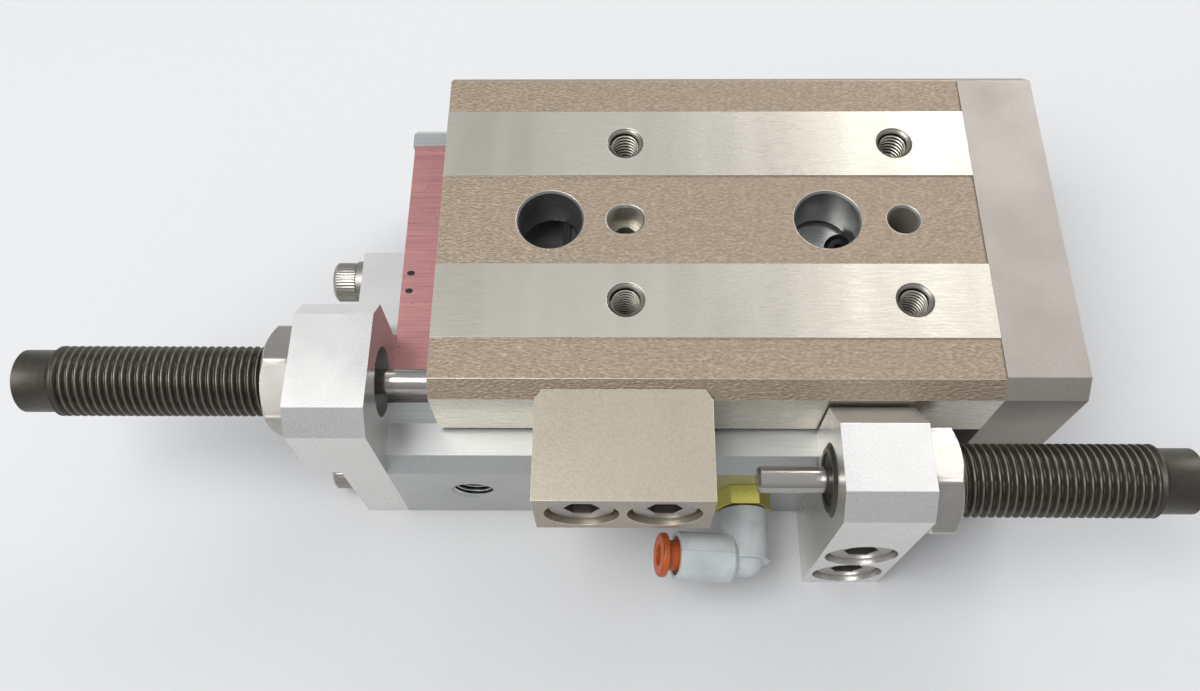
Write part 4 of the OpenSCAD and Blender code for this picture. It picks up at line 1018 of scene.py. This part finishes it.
def screw_skin(place, toward, head, height, flats, shank, length, knurls, knurl_depth):
    """A socket head screw as one closed turned surface.

    From the shank's end along the shank, out under the head, up the knurled side, over the
    chamfer and in to the socket, whose radius is a hexagon's, and down to its coned floor.
    On the side the radius drops by the knurl depth times half of one less the cosine of
    the angle times the number of knurls.
    """
    tip, under, cone = 0.3, 0.25, 0.5  # shank's end, edge under the head, socket's floor
    angles = round_angles(knurls * 6)
    groove = knurl_depth * 0.5 * (1.0 - np.cos(knurls * angles))
    core, rim, floor = shank / 2, head / 2, height - height * 0.55
    socket = hexagon_radius(flats, angles)
    # rows of axial place, radius and share of the knurl
    rows = np.array([
        (-length, core - tip, 0), (-length + tip, core, 0), (0.0, core, 0),
        (0.0, rim - under, 0), (under, rim, 0), (0.45, rim, 1), (height - 0.85, rim, 1),
        (height - 0.6, rim, 0), (height - 0.12, rim - 0.42, 0), (height, rim - 0.62, 0),
    ])
    axial = np.concatenate([rows[:, 0], [height, height - 0.2, floor]])[:, None]
    radii = np.vstack([rows[:, 1:2] - rows[:, 2:] * groove, socket + 0.22, socket, socket])
    points = turned(axial, radii, angles, place, toward)
    unit = direction(toward)
    return skin(points, start=place - length * unit, end=place + (floor - cone) * unit)


def island_boxes(node):
    """Boxes in millimetres of a CAD node's separate solids, in order of their middles.

    Each loose triangle's corners are merged first, and a solid is what edges join.
    """
    work = bmesh.new()
    work.from_mesh(NODES[node].data)
    bmesh.ops.remove_doubles(work, verts=work.verts, dist=MERGE_MM * MM)
    left, boxes = set(work.verts), []
    while left:
        stack, found = [left.pop()], []
        while stack:
            vertex = stack.pop()
            found.append(vertex.co[:])
            for edge in vertex.link_edges:
                other = edge.other_vert(vertex)
                if other in left:
                    left.discard(other)
                    stack.append(other)
        corners = np.array(found) / MM
        boxes.append((corners.min(0), corners.max(0)))
    work.free()
    return sorted(boxes, key=lambda pair: tuple(np.round(pair[0] + pair[1], 2)))


class SLIDETABLE_OT_screws(bpy.types.Operator):
    """All socket head screws, with knurled heads and hexagon sockets."""

    bl_idname = "slide_table.screws"
    bl_label = "Screws"

    def execute(self, context):
        size, colour = settings(context)
        nickel = satin_metal("screw nickel", shade(colour.nickel, 0.86), 0.28, 2.0, 0.004, 0.95)
        black = satin_metal("screw black", colour.black, 0.4, 2.0, 0.004, 0.7)
        # node, where its heads point, their height, their hexagon's flats, finish
        groups = (
            ("rear_holder_screws", "-X", 5.0, 4.0, nickel),
            ("front_holder_screws", "-Y", 8.0, 6.0, nickel),
            ("stopper_screws", "-Y", 8.0, 6.0, nickel),
            ("end_plate_screws", "+X", 5.0, 4.0, black),
            ("rod_screws", "+X", 5.0, 4.0, black),
            ("guide_block_screws", "+Z", 4.0, 3.0, black),
        )
        for node, toward, height, flats, material in groups:
            axis = "XYZ".index(toward[1])
            across = 1 if axis == 0 else 0
            shank, parts = height * 0.9, []
            for low, high in island_boxes(node):
                head, length = (high - low)[across], (high - low)[axis] - height
                place = (low + high) / 2
                place[axis] = high[axis] - height if toward[0] == "+" else low[axis] + height
                parts.append(
                    screw_skin(place, toward, head, height, flats, shank, length,
                               size["knurls"], size["knurl_depth"])
                )
            screws = add_piece(node + "_knurled", parts, node, 30.0)
            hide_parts(node)
            paint(screws, [material])
        smooth(("rear_holder_washers",), satin_metal("spring washer", shade(colour.nickel, 0.8)))
        keep(("guide_cover_screws", "piston_nuts"),
             satin_metal("small screw steel", shade(colour.nickel, 0.8), 0.3, 2.0))
        return {"FINISHED"}


class SLIDETABLE_OT_fitting(bpy.types.Operator):
    """The air fitting: brass stud, swivel elbow, release button and what holds the tube."""

    bl_idname = "slide_table.fitting"
    bl_label = "Air fitting"

    def execute(self, context):
        size, colour = settings(context)
        brass = satin_metal("stud brass", colour.brass, 0.3, 2.0, 0.004, 0.9)
        paint(dress_copy("fitting_stud", size["edge"] * 0.9), [brass])
        elbow = dress_copy("elbow_body", 0.0)
        _, high = box_mm("elbow_body")
        leg = centre_mm("elbow_o_ring")
        socket = frame_mount("tube_socket")
        mouth, branch = np.array(socket["pos_m"]) / MM, np.array(socket["axis"])
        paint(elbow, [moulded_plastic("elbow plastic", colour.elbow, 0.35, 0.2, seam_mm=mouth[1])])
        corner = np.array([leg[0], mouth[1], leg[2]])
        barrel, neck, collar, rounding = 4.9, 4.1, 4.8, 0.3  # radii, and the broken edges
        rings = [(14.6, barrel), (2.8, neck), (3.6, barrel)]
        break_rings(elbow, rings, branch, corner, rounding)
        rings = [(high[1] - corner[1], collar)]
        break_rings(elbow, rings, direction("+Y"), corner, rounding)
        paint(dress_copy("release_button", size["edge"] * 1.6, 3),
              [moulded_plastic("button plastic", colour.button, 0.42)])
        smooth(("tube_guide_ring",), brass)
        smooth(("tube_grip_ring",), satin_metal("grip ring steel", colour.nickel, 0.25, 2.0))
        keep(("tube_seal", "elbow_o_ring"), rubber("fitting rubber", colour.rubber))
        return {"FINISHED"}


class SLIDETABLE_OT_guide(bpy.types.Operator):
    """The ball guide under the table."""

    bl_idname = "slide_table.guide"
    bl_label = "Ball guide"

    def execute(self, context):
        _, colour = settings(context)
        keep(("guide_block",), milled_metal("guide ground", shade(colour.body, 1.05), 0.3))
        keep(("guide_end_cover_rear", "guide_end_cover_front"),
             moulded_plastic("cover plastic", colour.black, 0.5))
        keep(("guide_scraper_rear", "guide_scraper_front"),
             rubber("scraper rubber", colour.rubber))
        keep(("near_ball_row", "far_ball_row"),
             brushed_metal("ball steel", colour.chrome, (1.0, 1.0, 1.0), 0.14, 0.001, 0.01))
        return {"FINISHED"}


class SLIDETABLE_OT_cylinder_inside(bpy.types.Operator):
    """What the cylinder body holds: rods, pistons, bushings, caps, rings and seals."""

    bl_idname = "slide_table.cylinder_inside"
    bl_label = "Cylinder inside"

    def execute(self, context):
        _, colour = settings(context)
        smooth(("near_piston_rod", "far_piston_rod"), polished_rod("rod chrome", colour.chrome))
        keep(("near_piston", "far_piston", "near_end_cap", "far_end_cap"),
             satin_metal("turned aluminium", colour.body, 0.32, 2.0))
        keep(("near_rod_bushing", "far_rod_bushing"),
             satin_metal("bushing brass", shade(colour.brass, 0.95), 0.34, 2.0))
        keep(("retaining_rings",), satin_metal("ring steel", shade(colour.black, 1.6), 0.36, 2.0))
        keep(("rod_seals", "bushing_o_rings", "end_cap_o_rings", "piston_seals"),
             rubber("seal rubber", colour.rubber))
        return {"FINISHED"}


def add_lamp(name, place, size_m, energy, target):
    """An area lamp of size_m at place that looks at target."""
    lamp = bpy.data.lights.new(name, "AREA")
    lamp.shape = "RECTANGLE"
    lamp.size, lamp.size_y = size_m
    lamp.energy = energy
    holder = add_object(name, lamp)
    aim = Vector(target) - Vector(place)
    holder.rotation_mode = "QUATERNION"
    holder.rotation_quaternion = aim.to_track_quat("-Z", "Y")
    holder.location = place


class SLIDETABLE_OT_studio(bpy.types.Operator):
    """The pale floor, the soft lamps and the camera above the near side."""

    bl_idname = "slide_table.studio"
    bl_label = "Studio"

    def execute(self, context):
        _, colour = settings(context)
        mesh = bpy.data.meshes.new("studio_floor")
        half = 3.0
        mesh.from_pydata(
            [(-half, -half, 0), (half, -half, 0), (half, half, 0), (-half, half, 0)],
            [], [(0, 1, 2, 3)],
        )
        floor = add_object("studio_floor", mesh)
        paper = Finish("studio paper", 0.0, 0.8)
        fibre = paper.noise(0.4, 2.0)
        paper.colour(paper.mix(fibre, shade(colour.floor, 0.99), colour.floor))
        paint(floor, [paper.material])

        world = bpy.data.worlds.new("studio")
        context.scene.world = world
        world.use_nodes = True
        nodes, links = world.node_tree.nodes, world.node_tree.links
        background = nodes["Background"]
        background.inputs["Color"].default_value = (0.92, 0.95, 1.0, 1.0)
        place = nodes.new("ShaderNodeTexCoord")
        split = nodes.new("ShaderNodeSeparateXYZ")
        ramp = nodes.new("ShaderNodeMapRange")
        # dimmer at the horizon than overhead
        limits = {"From Min": 0.1, "From Max": 0.8, "To Min": 0.4, "To Max": 0.68}
        for name, value in limits.items():
            ramp.inputs[name].default_value = value
        links.new(place.outputs["Generated"], split.inputs["Vector"])
        links.new(split.outputs["Z"], ramp.inputs["Value"])
        links.new(ramp.outputs["Result"], background.inputs["Strength"])

        middle = (0.0, 0.0, 0.02)
        add_lamp("key", (-0.35, -0.15, 0.75), (0.5, 0.5), 5.0, middle)
        add_lamp("rim", (0.45, 0.55, 0.5), (0.6, 0.3), 3.0, middle)
        add_lamp("tube", (0.187, 0.29, 0.5), (0.03, 0.5), 0.18, (0.187, 0.29, 0.0))

        lens = bpy.data.cameras.new("camera")
        lens.sensor_width = 36.0
        lens.lens = 31.47
        lens.clip_start = 0.01
        camera = add_object("camera", lens)
        camera.location = (-0.00812, -0.11199, 0.22503)
        camera.rotation_euler = [math.radians(angle) for angle in (25.415, 0.682, 0.437)]
        context.scene.camera = camera
        context.scene.view_settings.view_transform = "Standard"
        return {"FINISHED"}


class SLIDETABLE_PT_panel(bpy.types.Panel):
    """Lists the pieces of the slide table."""

    bl_idname = "SLIDETABLE_PT_panel"
    bl_label = "Slide table"
    bl_space_type = "VIEW_3D"
    bl_region_type = "UI"
    bl_category = "Slide table"

    def draw(self, context):
        layout = self.layout
        for group in (context.scene.slide_table_sizes, context.scene.slide_table_colours):
            box = layout.box()
            for name in group.__annotations__:
                box.prop(group, name)
        for operator in OPERATORS:
            layout.operator(operator.bl_idname)


OPERATORS = (
    SLIDETABLE_OT_cylinder_body,
    SLIDETABLE_OT_table,
    SLIDETABLE_OT_end_plate,
    SLIDETABLE_OT_holders,
    SLIDETABLE_OT_stopper,
    SLIDETABLE_OT_absorbers,
    SLIDETABLE_OT_screws,
    SLIDETABLE_OT_fitting,
    SLIDETABLE_OT_guide,
    SLIDETABLE_OT_cylinder_inside,
    SLIDETABLE_OT_studio,
)
CLASSES = (SlideTableSizes, SlideTableColours, *OPERATORS, SLIDETABLE_PT_panel)


def register():
    """Makes the classes and the scene's settings known to Blender."""
    for item in CLASSES:
        bpy.utils.register_class(item)
    bpy.types.Scene.slide_table_sizes = PointerProperty(type=SlideTableSizes)
    bpy.types.Scene.slide_table_colours = PointerProperty(type=SlideTableColours)


def unregister():
    """Takes the settings and the classes away again."""
    del bpy.types.Scene.slide_table_colours
    del bpy.types.Scene.slide_table_sizes
    for item in reversed(CLASSES):
        bpy.utils.unregister_class(item)


def main():
    """Builds every piece in order."""
    register()
    for operator in OPERATORS:
        group, name = operator.bl_idname.split(".")
        getattr(getattr(bpy.ops, group), name)()


if __name__ == "__main__":
    main()
